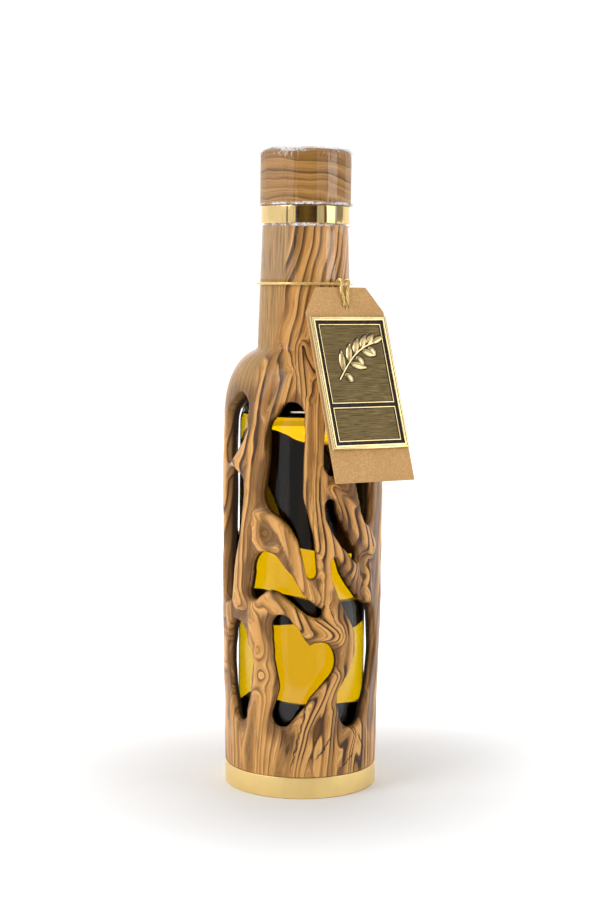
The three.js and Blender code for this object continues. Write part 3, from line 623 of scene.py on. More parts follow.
def case_wood():
    look = Look("olive_wood_carved")
    across, along = look.attribute("across"), look.attribute("along")
    colour, vein, fibre = wood_figure(look, across, along, 0.0, figured=look.attribute("figured"))
    place = look.place()
    x, y, z = look.axes(place)
    turned = look.math("ARCTAN2", x, y * -1.0) * MAP_RADIUS
    straight = look.noise(look.vector(turned * 1.1, z * 45.0, 5.0), detail=5.0, rough=0.65)
    pale = look.mix(look.step(straight, 0.36, 0.66), SAP_LIGHT, SAP_DARK)
    colour = look.mix(look.attribute("sapwood"), colour, pale)
    # Painted shade: the wood is darkened where the carving sinks between strands and in the hollows
    colour = look.mix(look.step(look.attribute("depth"), 0.3, 1.4) * 0.74, colour, SUNK_SHADE_PAINT)
    # Painted shade: the wood is darkened as it rounds off into an opening, and inside
    colour = look.mix(look.step(look.attribute("edge"), 0.6, 1.0) * 0.34, colour, EDGE_SHADE_PAINT)
    jag = look.noise(place, scale=420.0, detail=3.0) - 0.5
    u, v = turned + jag * 2.2, z * 1000.0 - jag * 1.4
    split = 0.0
    for start, end in CRACKS:
        split = look.math("MAXIMUM", split, crack(look, u, v, start, end))
    colour = look.mix(split * 0.9, colour, CRACK_WOOD)
    # Painted shade: inside the case and down the openings' walls the wood is painted nearly black
    colour = look.mix(look.step(look.attribute("inside"), 0.12, 0.6), colour, INSIDE_SHADE_PAINT)
    speck = look.noise(place, scale=900.0, detail=3.0)
    height = fibre * 0.6 + speck * 0.25 - vein * 0.35 - split * 1.5
    ripple = look.bump(look.noise(place, scale=260.0, detail=2.0), 0.35, 0.5)
    return look.finish(look.principled(
        Base_Color=colour, Roughness=look.step(fibre, 0.2, 0.8, 0.42, 0.58),
        Normal=look.bump(height, 0.35, 0.25), Coat_Weight=0.25, Coat_Roughness=0.12, Coat_Normal=ripple,
        Specular_IOR_Level=0.2))


def cap_wood():
    look = Look("olive_wood_turned")
    place = look.place()
    x, y, z = (axis * 1000.0 for axis in look.axes(place))
    across = z + x * 0.05 + look.noise(place, scale=34.0, detail=2.0) * 9.0
    colour, vein, fibre = wood_figure(look, across, x + y * 0.4, 7.3, 4.4, 0.55)
    return look.finish(look.principled(
        Base_Color=look.mix(0.5, colour, CAP_STAIN), Roughness=0.55,
        Normal=look.bump(fibre - vein * 0.3, 0.25, 0.15), Specular_IOR_Level=0.2))


def clear_glass():
    look = Look("clear_glass")
    ripple = look.bump(look.noise(look.place(), scale=90.0, detail=1.0), 0.12, 0.4)
    return look.finish(look.principled(
        Base_Color=(0.97, 0.985, 0.975), Roughness=0.0, IOR=1.5, Specular_Tint=(0.07, 0.07, 0.07),
        Transmission_Weight=1.0, Normal=ripple))


def golden_oil():
    look = Look("golden_oil")
    swirl = look.bump(look.noise(look.place(), scale=60.0, detail=1.0), 0.05, 0.3)
    surface = look.principled(
        Base_Color=(1.0, 1.0, 1.0), Roughness=0.0, IOR=1.47, Transmission_Weight=1.0, Normal=swirl)
    volume = look.node("VolumeAbsorption", {"Color": (0.950, 0.895, 0.0), "Density": 230.0})
    return look.finish(surface, volume)


def gold(name, colour, rough, marks, rub):
    """Gold or brass: how rough it is, how deep its turned marks are, and how much a rub roughens it."""
    look = Look(name)
    place = look.place()
    turned = look.noise(look.vector(0.0, 0.0, look.axes(place)[2]), scale=2600.0, detail=3.0)
    cloud = look.noise(place, scale=120.0, detail=4.0)
    tint = look.mix(look.step(cloud, 0.3, 0.7, 0.0, 0.25), colour, [c * 0.8 for c in colour])
    return look.finish(look.principled(
        Base_Color=tint, Metallic=1.0, Roughness=look.step(cloud, 0.3, 0.7, rough, rough + rub),
        Normal=look.bump(turned, marks, 0.02)))


def cord_gold():
    look = Look("gold_cord")
    fine = look.noise(look.place(), scale=2500.0, detail=2.0)
    # Painted shade and painted highlight: the gold is dark in the grooves between strands and bright on their
    # crests, also on the bead's ridges
    colour = look.mix(look.attribute("strand"), (0.34, 0.19, 0.025), (1.0, 0.76, 0.30))
    return look.finish(look.principled(
        Base_Color=colour, Metallic=0.5, Roughness=look.step(fine, 0.3, 0.7, 0.2, 0.35),
        Normal=look.bump(fine, 0.3, 0.05)))


def kraft_card():
    look = Look("kraft_card")
    place = look.place()
    fibres = look.noise(place, scale=1400.0, detail=6.0, rough=0.7)
    flecks = look.noise(place, scale=520.0, detail=3.0, rough=0.6)
    cloud = look.noise(place, scale=90.0, detail=3.0)
    colour = look.mix(look.step(fibres, 0.3, 0.7), (0.44, 0.235, 0.085), (0.64, 0.39, 0.165))
    colour = look.mix(look.step(flecks, 0.62, 0.72, 0.0, 0.5), colour, (0.27, 0.13, 0.045))
    colour = look.mix(look.step(cloud, 0.35, 0.65, 0.0, 0.3), colour, (0.46, 0.26, 0.10))
    return look.finish(look.principled(
        Base_Color=colour, Roughness=0.85, Specular_IOR_Level=0.25, Normal=look.bump(fibres, 0.5, 0.12)))


def brushed_brass():
    look = Look("antique_brass")
    across, up = look.attribute("across"), look.attribute("along")
    brush = look.noise(look.vector(across * 0.12, up * 3.4, 1.0), detail=5.0, rough=0.75)
    cloud = look.noise(look.place(), scale=160.0, detail=3.0)
    colour = look.mix(look.step(brush, 0.30, 0.66), (0.045, 0.031, 0.012), (0.30, 0.215, 0.088))
    colour = look.mix(look.step(cloud, 0.35, 0.7, 0.0, 0.35), colour, (0.16, 0.115, 0.045))
    return look.finish(look.principled(
        Base_Color=colour, Metallic=0.75, Roughness=look.step(brush, 0.3, 0.7, 0.62, 0.42),
        Normal=look.bump(brush, 0.35, 0.1)))


def black_patina():
    look = Look("black_patina")
    speck = look.noise(look.place(), scale=900.0, detail=4.0)
    colour = look.mix(look.step(speck, 0.45, 0.75), (0.010, 0.008, 0.006), (0.045, 0.034, 0.018))
    return look.finish(look.principled(
        Base_Color=colour, Metallic=0.2, Roughness=0.55, Normal=look.bump(speck, 0.3, 0.1)))


def shrink_film():
    """Clear film: paler where it is seen at a slant, its haze and a painted sheen, and white in its folds,
    painted highlights on the wrinkles.
    """
    look = Look("clear_film")
    place = look.place()
    x, y, z = look.axes(place)
    soft = look.noise(look.vector(x, y, z * 0.25), scale=240.0, detail=3.0, rough=0.6)
    folds = look.noise(place, scale=1000.0, detail=4.0, rough=0.7) * look.attribute("folds")
    normal = look.bump(soft * 0.4 + folds, 0.5, 0.35)
    facing = look.node("LayerWeight", {"Blend": 0.5}, "Facing")
    fresnel = look.math("POWER", facing, 5.0) * 0.55 + 0.06
    shine = look.node("BsdfGlossy", {"Color": (1.0, 1.0, 1.0), "Roughness": 0.08, "Normal": normal})
    clear = look.node("BsdfTransparent", {"Color": (0.985, 0.985, 0.985)})
    haze_and_sheen = look.node("BsdfDiffuse", {"Color": (0.80, 0.80, 0.79)})
    # At a slant the film turns milky, its haze and a painted sheen; in its folds it turns white, painted
    # highlights on the wrinkles
    slant_haze_and_sheen, white = look.step(facing, 0.70, 0.96, 0.0, 0.6), look.step(folds, 0.36, 0.54, 0.0, 0.85)
    under = look.node("MixShader", {0: look.math("ADD", slant_haze_and_sheen, white, clamp=True), 1: clear, 2: haze_and_sheen})
    return look.finish(look.node("MixShader", {0: fresnel, 1: under, 2: shine}))


# Turned pieces
# How far the oil reaches into the glass wall, and how high it climbs at its edge
OIL_INTO, OIL_CLIMB = 0.25, 0.7
# The film under and over the ring and beside the cap: distance out from its loosest radius, and height
FILM_RING = [(-0.5, 241.9), (-0.05, 242.6), (0, 243.8), (0, 246.8), (0, 249.3), (0, 250.1), (-0.15, 250.8)]
FILM_CAP = [(-0.25, 251.5), (-0.1, 252.5), (-0.1, 255), (0, 258), (0, 261), (0, 264), (-0.05, 267),
            (-0.1, 269.5)]
# The film's sides in the mesh, how far it lies within its solid, and how deep its folds are
FILM_SIDES, FILM_SKIN, FOLD_DEPTH = 260, 0.02, 0.22


def base_band(material):
    outline = [(0, 0), (BAND_RADIUS - 0.4, 0), (BAND_RADIUS, 0.4), (BAND_RADIUS, BAND_HEIGHT - 0.12),
               (BAND_RADIUS - 0.12, BAND_HEIGHT), (BAND_RADIUS - BAND_WALL, BAND_HEIGHT),
               (BAND_RADIUS - BAND_WALL, BAND_WALL), (0, BAND_WALL)]
    points, faces = lathe(soften(outline, 0.25, 3), 160)
    make("base_band_gold", points, faces, [material], ["base_band"])


def glass(material):
    core, bore, inside = GLASS_RADIUS - GLASS_SHOULDER, GLASS_NECK - GLASS_WALL, GLASS_RADIUS - GLASS_WALL
    foot, floor = GLASS_FOOT, GLASS_FLOOR + GLASS_BASE
    outline = [(0, GLASS_FLOOR + 1.2), (14, GLASS_FLOOR + 0.8), (GLASS_RADIUS - foot, GLASS_FLOOR)]
    outline += arc(GLASS_RADIUS - foot, GLASS_FLOOR + foot, foot, -88, 0, 8)
    outline += arc(core, GLASS_SHOULDER_Z, GLASS_SHOULDER, 0, GLASS_TURN, 14)
    outline += [(GLASS_NECK + 0.4, GLASS_NECK_Z - 1), (GLASS_NECK, GLASS_NECK_Z + 1), (GLASS_NECK, GLASS_TOP),
                (bore, GLASS_TOP), (bore, GLASS_NECK_Z - 1)]
    outline += arc(core, GLASS_SHOULDER_Z, GLASS_SHOULDER - GLASS_WALL, GLASS_TURN, 0, 14)
    outline += arc(inside - foot, floor + foot, foot, 0, -88, 8) + [(0, floor + 1)]
    points, faces = lathe(outline, 144)
    make("glass_bottle_clear", points, faces, [material], ["glass_bottle"])


def oil(material):
    """The oil: it reaches a little into the wall, so no air shows between, and climbs it at its surface."""
    radius = GLASS_RADIUS - GLASS_WALL + OIL_INTO
    foot, floor = GLASS_FOOT, GLASS_FLOOR + GLASS_BASE - OIL_INTO
    core, turn = GLASS_RADIUS - GLASS_SHOULDER, GLASS_SHOULDER - GLASS_WALL + OIL_INTO
    rise = math.degrees(math.asin((OIL_LEVEL + OIL_CLIMB - GLASS_SHOULDER_Z) / turn))
    outline = [(0, floor + 1)] + arc(radius - foot, floor + foot, foot, -88, 0, 8)
    outline += arc(core, GLASS_SHOULDER_Z, turn, 0, rise, 6)
    edge = outline[-1][0]
    outline += [(edge - back, OIL_LEVEL + up) for back, up in ((0.5, 0.3), (1.2, 0.08), (2.4, 0), (edge, 0))]
    points, faces = lathe(outline, 144)
    make("olive_oil_golden", points, faces, [material], ["olive_oil"])


def neck_ring(material):
    outline = [(RING_BORE, RING_BOTTOM), (RING_RADIUS, RING_BOTTOM),
               (RING_RADIUS, RING_TOP), (RING_BORE, RING_TOP)]
    points, faces = lathe(soften(outline, 0.3, 4), 160, closed=True)
    make("neck_ring_gold", points, faces, [material], ["neck_ring"])


def wood_cap(material):
    outline = [(0, CAP_BOTTOM), (CAP_RADIUS - 0.5, CAP_BOTTOM), (CAP_RADIUS, CAP_BOTTOM + 0.5)]
    outline += arc(CAP_RADIUS - CAP_CORNER, CAP_CORNER_Z, CAP_CORNER, 0, 84, 8)
    top = CAP_CORNER_Z + CAP_CORNER
    outline += [(r, top + CAP_DOME * (1 - (r / CAP_RADIUS) ** 2)) for r in (14, 10, 5, 0)]
    points, faces = lathe(outline, 144)
    make("wood_cap_turned", points, faces, [material], ["wood_cap"])


def cap_film(material):
    """A sheet round the cap, the ring and the neck, with shrink wrinkles at the rim and round the ring."""
    tight = FILM_GAP + FILM - FILM_SKIN
    loose = tight + FILM_SLACK
    shares = np.linspace(0, 1, 9)
    heights = FILM_BOTTOM + (FILM_NECK_TOP - FILM_BOTTOM) * shares
    profile = list(zip(case_radius(heights) + tight + FILM_SLACK * shares, heights))
    profile += [(RING_RADIUS + loose + out, height) for out, height in FILM_RING]
    profile += [(CAP_RADIUS + loose + out, height) for out, height in FILM_CAP]
    profile += arc(CAP_RADIUS - CAP_CORNER, CAP_CORNER_Z, CAP_CORNER + loose, 0, 84, 9)
    top, dome = CAP_CORNER_Z + CAP_CORNER + loose, CAP_DOME + FILM_PUFF
    profile += [(r, top + dome * (1 - (r / CAP_RADIUS) ** 2)) for r in (15, 12, 8, 4, 0)]
    points, faces = lathe(profile, FILM_SIDES)
    z, spread = points[:, 2], np.hypot(points[:, 0], points[:, 1])
    rim = smooth_step(8, 16.5, spread)
    folds = np.clip(smooth_step(270.5, 273.5, z) * (0.35 + 0.65 * rim)
                    + smooth_step(249.8, 250.8, z) * (1 - smooth_step(251.2, 253, z))
                    + 0.85 * smooth_step(240.5, 242, z) * (1 - smooth_step(242.6, 243.4, z)), 0, 1)
    folds = np.clip(0.10 + folds * (0.8 + 0.22 * wobble(points, 14, 31)), 0, 1)
    turned = np.degrees(np.arctan2(points[:, 0], -points[:, 1]))
    inward = -FOLD_DEPTH * folds * (1 + np.sin(turned * 0.9 + wobble(points, 9, 5)))
    scale = np.where(spread > 1, 1 + inward / np.maximum(spread, 1), 1)
    points[:, :2] *= scale[:, None]
    points[:, 2] -= np.where(z > 273, 0.35 * folds * (1 + wobble(points, 6, 8)).clip(0, 2), 0)
    make("cap_film_clear", points, faces, [material], ["cap_film"], 60, {"folds": folds})


# Cords
# A cord's strands and their pitch, its sides in the mesh, and how deep the grooves between strands are
CORD_STRANDS, CORD_PITCH, CORD_SIDES, CORD_GROOVE = 4, 2.6, 18, 0.2


def curve_through(stations, step, closed=False):
    """Evenly spaced points on a smooth curve through the stations."""
    stations = np.asarray(stations, float)
    count = len(stations)
    out = []
    for k in range(count if closed else count - 1):
        near = [k - 1, k, k + 1, k + 2]
        p = [stations[i % count if closed else min(max(i, 0), count - 1)] for i in near]
        for t in np.linspace(0, 1, 12, endpoint=False):
            out.append(0.5 * (2 * p[1] + (p[2] - p[0]) * t + (2 * p[0] - 5 * p[1] + 4 * p[2] - p[3]) * t ** 2
                              + (3 * p[1] - p[0] - 3 * p[2] + p[3]) * t ** 3))
    out.append(stations[0] if closed else stations[-1])
    out = np.array(out)
    run = np.concatenate([[0], np.cumsum(np.linalg.norm(np.diff(out, axis=0), axis=1))])
    at = np.linspace(0, run[-1], max(2, int(round(run[-1] / step))) + 1)
    return np.stack([np.interp(at, run, out[:, k]) for k in range(3)], axis=1)


def wrapped_tube(path, radius, closed=False):
    """A cord of twisted strands along a path: points, faces and how far each point stands proud."""
    if closed:
        path = path[:-1]
        tangents = np.roll(path, -1, axis=0) - np.roll(path, 1, axis=0)
    else:
        tangents = np.gradient(path, axis=0)
    tangents /= np.linalg.norm(tangents, axis=1)[:, None]
    run = np.concatenate([[0], np.cumsum(np.linalg.norm(np.diff(path, axis=0), axis=1))])
    whole = run[-1] + (np.linalg.norm(path[0] - path[-1]) if closed else 0)
    turns = whole / CORD_PITCH if not closed else round(whole / CORD_PITCH)
    count, sides = len(path), CORD_SIDES
    angle = np.arange(sides) * 2 * math.pi / sides
    normal = np.cross(tangents[0], [0.3, 0.2, 1.0])
    points, proud = [], []
    for k in range(count):
        normal = normal - tangents[k] * np.dot(normal, tangents[k])
        normal /= np.linalg.norm(normal)
        if closed:
            normal = np.cross(tangents[k], [0, 0, 1.0])
            normal /= np.linalg.norm(normal)
        side = np.cross(tangents[k], normal)
        lobe = np.abs(np.cos(CORD_STRANDS / 2 * angle + math.pi * turns * run[k] / whole))
        size = radius * (1 - CORD_GROOVE + CORD_GROOVE * lobe)
        way = np.outer(np.cos(angle), normal) + np.outer(np.sin(angle), side)
        points.extend(path[k] + size[:, None] * way)
        proud.extend(lobe)
    rings = [list(range(k * sides, (k + 1) * sides)) for k in range(count)]
    faces = []
    for k in range(count if closed else count - 1):
        faces += strip(rings[k], rings[(k + 1) % count])
    if not closed:
        faces += [rings[0][::-1], rings[-1]]
    return np.array(points), faces, np.array(proud)


def cord_radius(degrees):
    return CORD_RADIUS + HITCH_BULGE * math.exp(-(((degrees - HITCH_ANGLE) / HITCH_SPREAD) ** 2))


def on_tag(points):
    """Card coordinates (across, out of the front, up) to the bottle's millimetres."""
    yaw, lean = math.radians(TAG_YAW), math.radians(TAG_LEAN)
    turn = Matrix.Rotation(yaw, 3, "Z") @ Matrix.Rotation(lean, 3, "X")
    return np.asarray(points, float) * [1, -1, 1] @ np.array(turn).T + TAG_HOLE


def neck_cord(material):
    angles = HITCH_ANGLE - 180 + np.arange(72) * 5
    path = curve_through([around(a, cord_radius(a), CORD_Z) for a in angles], 0.32, closed=True)
    points, faces, proud = wrapped_tube(path, CORD / 2, closed=True)
    make("neck_cord_gold", points, faces, [material], ["neck_cord"], 80, {"strand": proud})


def tag_hitch(material):
    centre = around(HITCH_ANGLE, cord_radius(HITCH_ANGLE), CORD_Z)
    outward, sideways = around(HITCH_ANGLE, 1, 0), around(HITCH_ANGLE + 90, 1, 0)

    def near(side, out, up):
        return centre + sideways * side + outward * out + np.array([0, 0, up])

    def half(sign):
        hole, top = sign * HITCH_HOLE_HALF, sign * HITCH_TOP_HALF
        card = on_tag([(hole, -3.2, -0.6), (hole, -0.6, -0.2), (hole, 0.9, 0.6),
                       (sign * 1, 1.5, 3.5), (sign * 1.6, 1.6, 6.5)])
        return [*card, near(top, HITCH_TURN * 0.85, 0.9), near(top, 0, HITCH_TURN),
                near(top * 0.75, -HITCH_TURN * 0.95, 0.5)]

    stations = [*half(-1), near(0, -HITCH_TURN, -0.5), *half(1)[::-1]]
    points, faces, proud = wrapped_tube(curve_through(stations, 0.3), CORD / 2)
    bead = [(r * BEAD_RADIUS, z * BEAD_RADIUS) for r, z in arc(0, 0, 1, -90, 90, 14)]
    bead[0], bead[-1] = (0, -BEAD_RADIUS), (0, BEAD_RADIUS)
    knot, knot_faces = lathe(bead, 28)
    turn = np.arctan2(knot[:, 0], knot[:, 1])
    ridge = np.abs(np.cos(3 * turn + knot[:, 2] * 2.2))
    knot = knot * (0.9 + 0.1 * ridge)[:, None] + on_tag([(0, -TAG_THICK / 2 - 0.3 - BEAD_RADIUS, -0.6)])
    faces += [[k + len(points) for k in face] for face in knot_faces]
    points, proud = np.concatenate([points, knot]), np.concatenate([proud, ridge])
    make("tag_hitch_gold", points, faces, [material], ["tag_hitch"], 80, {"strand": proud})


# The tag
# How far the plate stands off the card
PLATE_OFF = 0.3
# Sections of the plate's frame and of its lines: inset, and height against their crest
FRAME_SECTION = [(0, -0.2), (0.06, -0.06), (0.22, 0), (0.75, 0), (0.95, -0.16), (1.15, 0), (1.6, 0),
                 (1.78, -0.06), (1.86, -0.2)]
LINE_SECTION = [(0.04, -0.06), (0.12, 0), (PLATE_LINE - 0.12, 0), (PLATE_LINE - 0.04, -0.06)]
# The sprig: its twigs, and the black shade under it, how thick and how much wider than the sprig
TWIGS, SHADE_THICK, SHADE_GROW = 5, 0.03, 0.4
# Across a leaf, from edge to edge: share of its half width, and of its height
LEAF_SECTION = [(-1, 0.0), (-0.75, 0.75), (-0.12, 1.0), (0, 0.8), (0.12, 1.0), (0.75, 0.75), (1, 0.0)]
LEAF_ROWS, OLIVE_SIDES, OLIVE_LEVELS, OLIVE_HALVES = 9, 20, (1.0, 0.9, 0.66, 0.35), (2.3, 1.6)
# The plate's materials by number
FIELD, BRIGHT, BLACK = 0, 1, 2


def flat_piece(loops, back, front, bevel):
    """A flat piece with holes, softened along its edges: loops in card coordinates, the first outermost."""
    bm = bmesh.new()
    edges = []
    for loop in loops:
        verts = [bm.verts.new((x, -back, z)) for x, z in loop]
        edges += [bm.edges.new((a, b)) for a, b in zip(verts, verts[1:] + verts[:1])]
    bmesh.ops.triangle_fill(bm, use_beauty=True, use_dissolve=False, edges=edges)
    made = bmesh.ops.extrude_face_region(bm, geom=list(bm.faces))
    moved = [v for v in made["geom"] if isinstance(v, bmesh.types.BMVert)]
    bmesh.ops.translate(bm, verts=moved, vec=(0, -(front - back), 0))
    bmesh.ops.recalc_face_normals(bm, faces=bm.faces)
    sharp = [e for e in bm.edges if len(e.link_faces) == 2 and e.calc_face_angle(0) > 1.2]
    bmesh.ops.bevel(bm, geom=sharp, offset=bevel, segments=2, affect="EDGES", profile=0.5)
    bm.verts.index_update()
    points = np.array([v.co[:] for v in bm.verts]) * [1, -1, 1]
    faces = [[v.index for v in f.verts] for f in bm.faces]
    bm.free()
    return points, faces


def tag_card(material):
    left, right = TAG_CENTRE_X - TAG_HALF, TAG_CENTRE_X + TAG_HALF
    top_left, top_right = TAG_CENTRE_X - TAG_TOP_HALF, TAG_CENTRE_X + TAG_TOP_HALF
    shape = [(left, TAG_BOTTOM), (right, TAG_BOTTOM), (right, TAG_SIDE_TOP), (top_right, TAG_TOP),
             (top_left, TAG_TOP), (left, TAG_SIDE_TOP)]
    hole = arc(0, 0, TAG_HOLE_RADIUS, 0, 360, 32)[:-1]
    points, faces = flat_piece([shape, hole], -TAG_THICK / 2, TAG_THICK / 2, 0.12)
    make("tag_card_kraft", on_tag(points), faces, [material], ["tag_card"])


def moulding(left, right, bottom, top, profile):
    """A rectangular frame with mitred corners: the profile is a row of (inset, height) pairs."""
    points, faces = [], []
    for inset, height in profile:
        points += [(left + inset, height, bottom + inset), (right - inset, height, bottom + inset),
                   (right - inset, height, top - inset), (left + inset, height, top - inset)]
    rings = [list(range(4 * k, 4 * k + 4)) for k in range(len(profile))]
    for low, high in zip(rings, rings[1:]):
        faces += strip(low, high)
    return points, faces


def leaf(x, z, degrees, length, width, back, front, grow=0.0):
    """A domed leaf with a midrib, from its foot in the given direction."""
    cos, sin = math.cos(math.radians(degrees)), math.sin(math.radians(degrees))
    points, faces, rows = [], [], LEAF_ROWS
    across = len(LEAF_SECTION)
    for k in range(rows + 1):
        t = k / rows
        half = width * 2.1 * (t ** 0.8) * (1 - t) ** 0.9 + grow * (1 if 0 < k < rows else 0.3)
        u = t * (length + 2 * grow) - grow
        for share, lift in LEAF_SECTION:
            v = share * half
            height = back + (front - back) * (lift if 0 < k < rows else 0.0)
            points.append((x + u * cos - v * sin, height, z + u * sin + v * cos))
    for k in range(rows):
        for a in range(k * across, (k + 1) * across - 1):
            faces.append((a, a + across, a + across + 1, a + 1))
    return points, faces


def olive(x, z, degrees, back, front, grow=0.0):
    """A domed olive round its middle, its long way in the given direction."""
    cos, sin = math.cos(math.radians(degrees)), math.sin(math.radians(degrees))
    points, faces, rings = [], [], []
    for level in OLIVE_LEVELS:
        lift = math.sqrt(1 - level * level)
        rings.append(list(range(len(points), len(points) + OLIVE_SIDES)))
        for k in range(OLIVE_SIDES):
            turn = 2 * math.pi * k / OLIVE_SIDES
            u = (OLIVE_HALVES[0] + grow) * level * math.cos(turn)
            v = (OLIVE_HALVES[1] + grow) * level * math.sin(turn)
            points.append((x + u * cos - v * sin, back + (front - back) * lift, z + u * sin + v * cos))
    rings.append([len(points)])
    points.append((x, front, z))
    for low, high in zip(rings, rings[1:]):
        faces += strip(low, high)
    return points, faces


def tag_plate(field, bright, black):
    """The brass plate: its moulded frame, two lined fields, the black between them, and the sprig."""
    back = TAG_THICK / 2 + PLATE_OFF
    front = back + PLATE_THICK
    left, right = TAG_CENTRE_X - PLATE_HALF, TAG_CENTRE_X + PLATE_HALF
    in_left, in_right = left + PLATE_LINE_INSET, right - PLATE_LINE_INSET
    in_top, in_bottom = PLATE_TOP - PLATE_LINE_INSET, PLATE_BOTTOM + PLATE_LINE_INSET
    low_top, high_bottom = PLATE_SPLIT - PLATE_SPLIT_HALF, PLATE_SPLIT + PLATE_SPLIT_HALF
    points, faces, looks = [], [], []

    def add(piece, look):
        start = len(points)
        points.extend(piece[0])
        faces.extend([k + start for k in face] for face in piece[1])
        looks.extend([look] * len(piece[1]))

    proud = front + PLATE_FRAME_PROUD
    frame_profile = [(4, back), (0.15, back), (0, back + 0.1)]
    frame_profile += [(inset, proud + up) for inset, up in FRAME_SECTION] + [(PLATE_FRAME, front)]
    add(moulding(left, right, PLATE_BOTTOM, PLATE_TOP, frame_profile), BRIGHT)
    add(([(left + 3, back, PLATE_BOTTOM + 3), (left + 3, back, PLATE_TOP - 3),
          (right - 3, back, PLATE_TOP - 3), (right - 3, back, PLATE_BOTTOM + 3)], [(0, 1, 2, 3)]), FIELD)
    xs = [left + 1.5, in_left, in_right, right - 1.5]
    zs = [PLATE_BOTTOM + 1.5, in_bottom, low_top, high_bottom, in_top, PLATE_TOP - 1.5]
    for k in range(5):
        for i in range(3):
            cell = [(xs[i], front, zs[k]), (xs[i + 1], front, zs[k]), (xs[i + 1], front, zs[k + 1]),
                    (xs[i], front, zs[k + 1])]
            add((cell, [(0, 1, 2, 3)]), FIELD if i == 1 and k in (1, 3) else BLACK)
    line = [(inset, front + PLATE_LINE_PROUD + up) for inset, up in LINE_SECTION]
    line = [(0, front - 0.05), *line, (PLATE_LINE, front - 0.05)]
    shadow = [(PLATE_LINE, front + 0.01), (PLATE_LINE + 0.3, front + 0.01)]
    for bottom, top in ((in_bottom, low_top), (high_bottom, in_top)):
        add(moulding(in_left, in_right, bottom, top, line), BRIGHT)
        add(moulding(in_left, in_right, bottom, top, shadow), BLACK)

    def stem(t):
        return -10 + 19.5 * t, -33 + 16 * t + 3 * math.sin(t * math.pi)

    ends = np.linspace(0, 1, 17)
    for look, half, high in ((BLACK, 0.75, front + SHADE_THICK), (BRIGHT, 0.4, front + SPRIG_PROUD * 0.8)):
        ribbon, ribbon_faces = [], []
        for t in ends:
            x, z = stem(t)
            ribbon += [(x + half * s * 0.55, front + (high - front) * lift, z - half * s)
                       for s, lift in ((-1, 0), (-0.5, 1), (0.5, 1), (1, 0))]
        for k in range(len(ends) - 1):
            ribbon_faces += [(4 * k + s, 4 * k + s + 1, 4 * k + s + 5, 4 * k + s + 4) for s in range(3)]
        add((ribbon, ribbon_faces), look)
    for look, grow, high in ((BLACK, SHADE_GROW, front + SHADE_THICK), (BRIGHT, 0.0, front + SPRIG_PROUD)):
        for k in range(TWIGS):
            x, z = stem(0.14 + k / TWIGS * 0.86)
            length = 9.5 - k * 0.7
            add(leaf(x, z, 88 - k * 9, length, 2.3, front, high, grow), look)
            if k % 2 == 1:
                add(leaf(x, z, -14 - k * 3, length, 2.3, front, high, grow), look)
            else:
                add(olive(x + 2.2, z - 2.4, -50, front, high, grow), look)
        add(leaf(*stem(0.97), 28, 7, 2, front, high, grow), look)
    points = np.array(points, float)
    marks = {"across": points[:, 0], "along": points[:, 2]}
    make("tag_plate_brass", on_tag(points), faces, [field, bright, black], ["tag_plate"],
         35, marks, looks)


# Stage, light and camera
# The tent's light, how much brighter mirrors see it on the left, and the glow of the sweep
WORLD_LIGHT, WORLD_TILT, SWEEP_GLOW = 0.72, 0.3, 0.34
# The dark room that mirrors see, by direction: how far front it starts, its middle, half width and ends
ROOM_FRONT, ROOM_MIDDLE, ROOM_HALF, ROOM_LOW, ROOM_HIGH = -0.60, 0.03, 0.46, -0.6, 0.72
ROOM_DARK, ROOM_WARM, ROOM_WARM_HALF = (0.030, 0.024, 0.018), (0.16, 0.115, 0.05), 0.42
# How much of the room's darkness is taken off for rays that have passed through the glass
THROUGH = 0.5
# Dark stands and a grey card that only mirrors see: direction and half width in degrees, and darkness
STANDS = [(-47.6, 1.9, 1.0), (51, 2.9, 1.0), (88, 30, 0.42)]
# The sweep: where it is split, where it bends up, the radius of its bend, its top and its half width
SWEEP_FRONT, SWEEP_BACK, SWEEP_WIDE, SWEEP_TALL, SWEEP_HALF = -170, 1400, 900, 5000, 6000
CAMERA_PLACE, CAMERA_TILT, CAMERA_ROLL, CAMERA_LENS = (-0.00139, -0.74467, 0.21441), 84.716, 0.56, 68.8


def stage():
    """A white sweep that curves up behind the bottle, with a shadow painted round the bottle's foot. Mirrors
    don't see its front part, only the room.
    """
    look = Look("white_sweep")
    place = look.place()
    x, y, _ = look.axes(place)
    grey = look.step(look.noise(place, scale=6.0, detail=2.0), 0.3, 0.7)
    colour = look.mix(grey, (0.90, 0.895, 0.89), (0.92, 0.915, 0.91))
    away = look.math("SQRT", x * x + y * y)
    # Painted shadow round the bottle's foot: the sweep's colour darkens and its glow fades towards the bottle
    colour = look.mix(look.step(away, 0.05, 0.20, 0.15, 0.0), colour, (0.0, 0.0, 0.0))
    glow = look.step(away, 0.03, 0.20, 0.0, SWEEP_GLOW)
    material = look.finish(look.principled(
        Base_Color=colour, Roughness=0.8, Specular_IOR_Level=0.1, Emission_Color=(1.0, 1.0, 1.0),
        Emission_Strength=glow))
    bend = [(SWEEP_BACK + SWEEP_WIDE * math.sin(t), SWEEP_WIDE * (1 - math.cos(t)))
            for t in np.linspace(0.05, math.pi / 2, 24)]
    back = [(SWEEP_FRONT, 0), (SWEEP_BACK, 0), *bend, (SWEEP_BACK + SWEEP_WIDE, SWEEP_TALL)]
    for name, outline in (("sweep", back), ("front_floor", [(-SWEEP_HALF, 0), (SWEEP_FRONT, 0)])):
        points = [(x, y, z) for y, z in outline for x in (-SWEEP_HALF, SWEEP_HALF)]
        faces = [(2 * k, 2 * k + 1, 2 * k + 3, 2 * k + 2) for k in range(len(outline) - 1)]
        obj = mesh_object(name, points, faces, [material])
        obj.visible_glossy = obj.visible_transmission = name == "sweep"


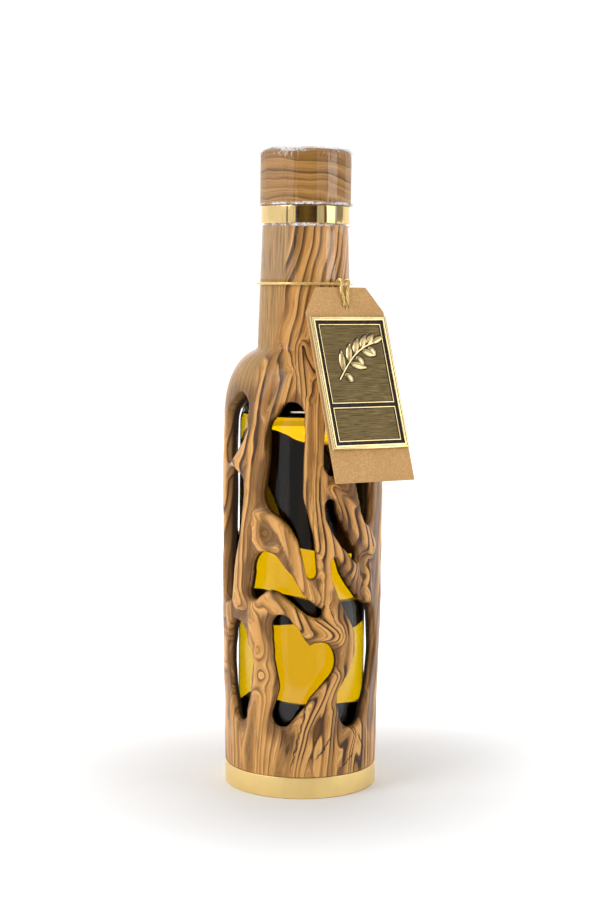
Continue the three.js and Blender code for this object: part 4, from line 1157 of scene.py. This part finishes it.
def area_light(name, place, target, size, power):
    data = bpy.data.lights.new(name, "AREA")
    data.shape, data.size, data.size_y = "RECTANGLE", size[0], size[1]
    data.energy = power
    obj = bpy.data.objects.new(name, data)
    obj.location = place
    obj.rotation_euler = (Vector(target) - Vector(place)).to_track_quat("-Z", "Y").to_euler()
    bpy.context.scene.collection.objects.link(obj)


def surroundings():
    """A white tent whose front is open: mirrors see a dark room there, and everything else sees white."""
    look = Look("tent", "worlds")
    x, y, z = look.axes(look.node("TexCoord", {}, "Generated"))
    aside = look.math("ABSOLUTE", x - ROOM_MIDDLE)
    room = look.math("LESS_THAN", y, ROOM_FRONT) * look.math("LESS_THAN", aside, ROOM_HALF)
    room = room * look.math("GREATER_THAN", z, ROOM_LOW) * look.math("LESS_THAN", z, ROOM_HIGH)
    turn = look.math("ARCTAN2", x, y * -1.0)
    for angle, half, darkness in STANDS:
        away = look.math("ABSOLUTE", turn - math.radians(angle))
        room = look.math("MAXIMUM", room, look.math("LESS_THAN", away, math.radians(half)) * darkness)
    seen, mirrored, passed = (look.node("LightPath", {}, f"Is {way} Ray")
                              for way in ("Camera", "Glossy", "Transmission"))
    mirror = mirrored * (1.0 - passed * THROUGH)
    warm = look.math("MAXIMUM", 1.0 - aside * (1 / ROOM_WARM_HALF), 0.0)
    white = look.math("MAXIMUM", WORLD_LIGHT - x * mirror * (WORLD_TILT * WORLD_LIGHT), seen)
    colour = look.mix(room * mirror, white, look.mix(warm, ROOM_DARK, ROOM_WARM))
    world = look.finish(look.node("Background", {"Color": colour}), kind="OutputWorld")
    world.cycles.sampling_method = "NONE"
    bpy.context.scene.world = world


def camera():
    data = bpy.data.cameras.new("camera")
    data.sensor_fit, data.sensor_width, data.lens = "AUTO", 36, CAMERA_LENS
    data.clip_start, data.clip_end = 0.01, 100
    obj = bpy.data.objects.new("camera", data)
    tilt, roll = math.radians(CAMERA_TILT), math.radians(CAMERA_ROLL)
    turn = Matrix.Rotation(tilt, 4, "X") @ Matrix.Rotation(roll, 4, "Z")
    obj.matrix_world = Matrix.Translation(CAMERA_PLACE) @ turn
    bpy.context.scene.collection.objects.link(obj)
    bpy.context.scene.camera = obj


bpy.context.scene.view_settings.view_transform = "Standard"
camera()
surroundings()
stage()
area_light("key", (-0.75, -0.55, 0.75), (0, 0, 0.14), (0.5, 0.7), 5.0)
area_light("fill", (0.85, -0.35, 0.45), (0, 0, 0.12), (0.4, 0.8), 2.0)
area_light("back", (0.0, 0.9, 0.35), (0, 0, 0.12), (0.9, 0.6), 2.0)

carved_case(case_wood())
base_band(gold("satin_gold", (0.99, 0.74, 0.31), 0.32, 0.25, 0.08))
glass(clear_glass())
oil(golden_oil())
neck_ring(gold("polished_gold", (0.92, 0.66, 0.26), 0.06, 0.05, 0.04))
wood_cap(cap_wood())
cap_film(shrink_film())
cord_material = cord_gold()
neck_cord(cord_material)
tag_hitch(cord_material)
tag_card(kraft_card())
tag_plate(brushed_brass(), gold("bright_brass", (0.82, 0.64, 0.33), 0.2, 0.05, 0.1), black_patina())
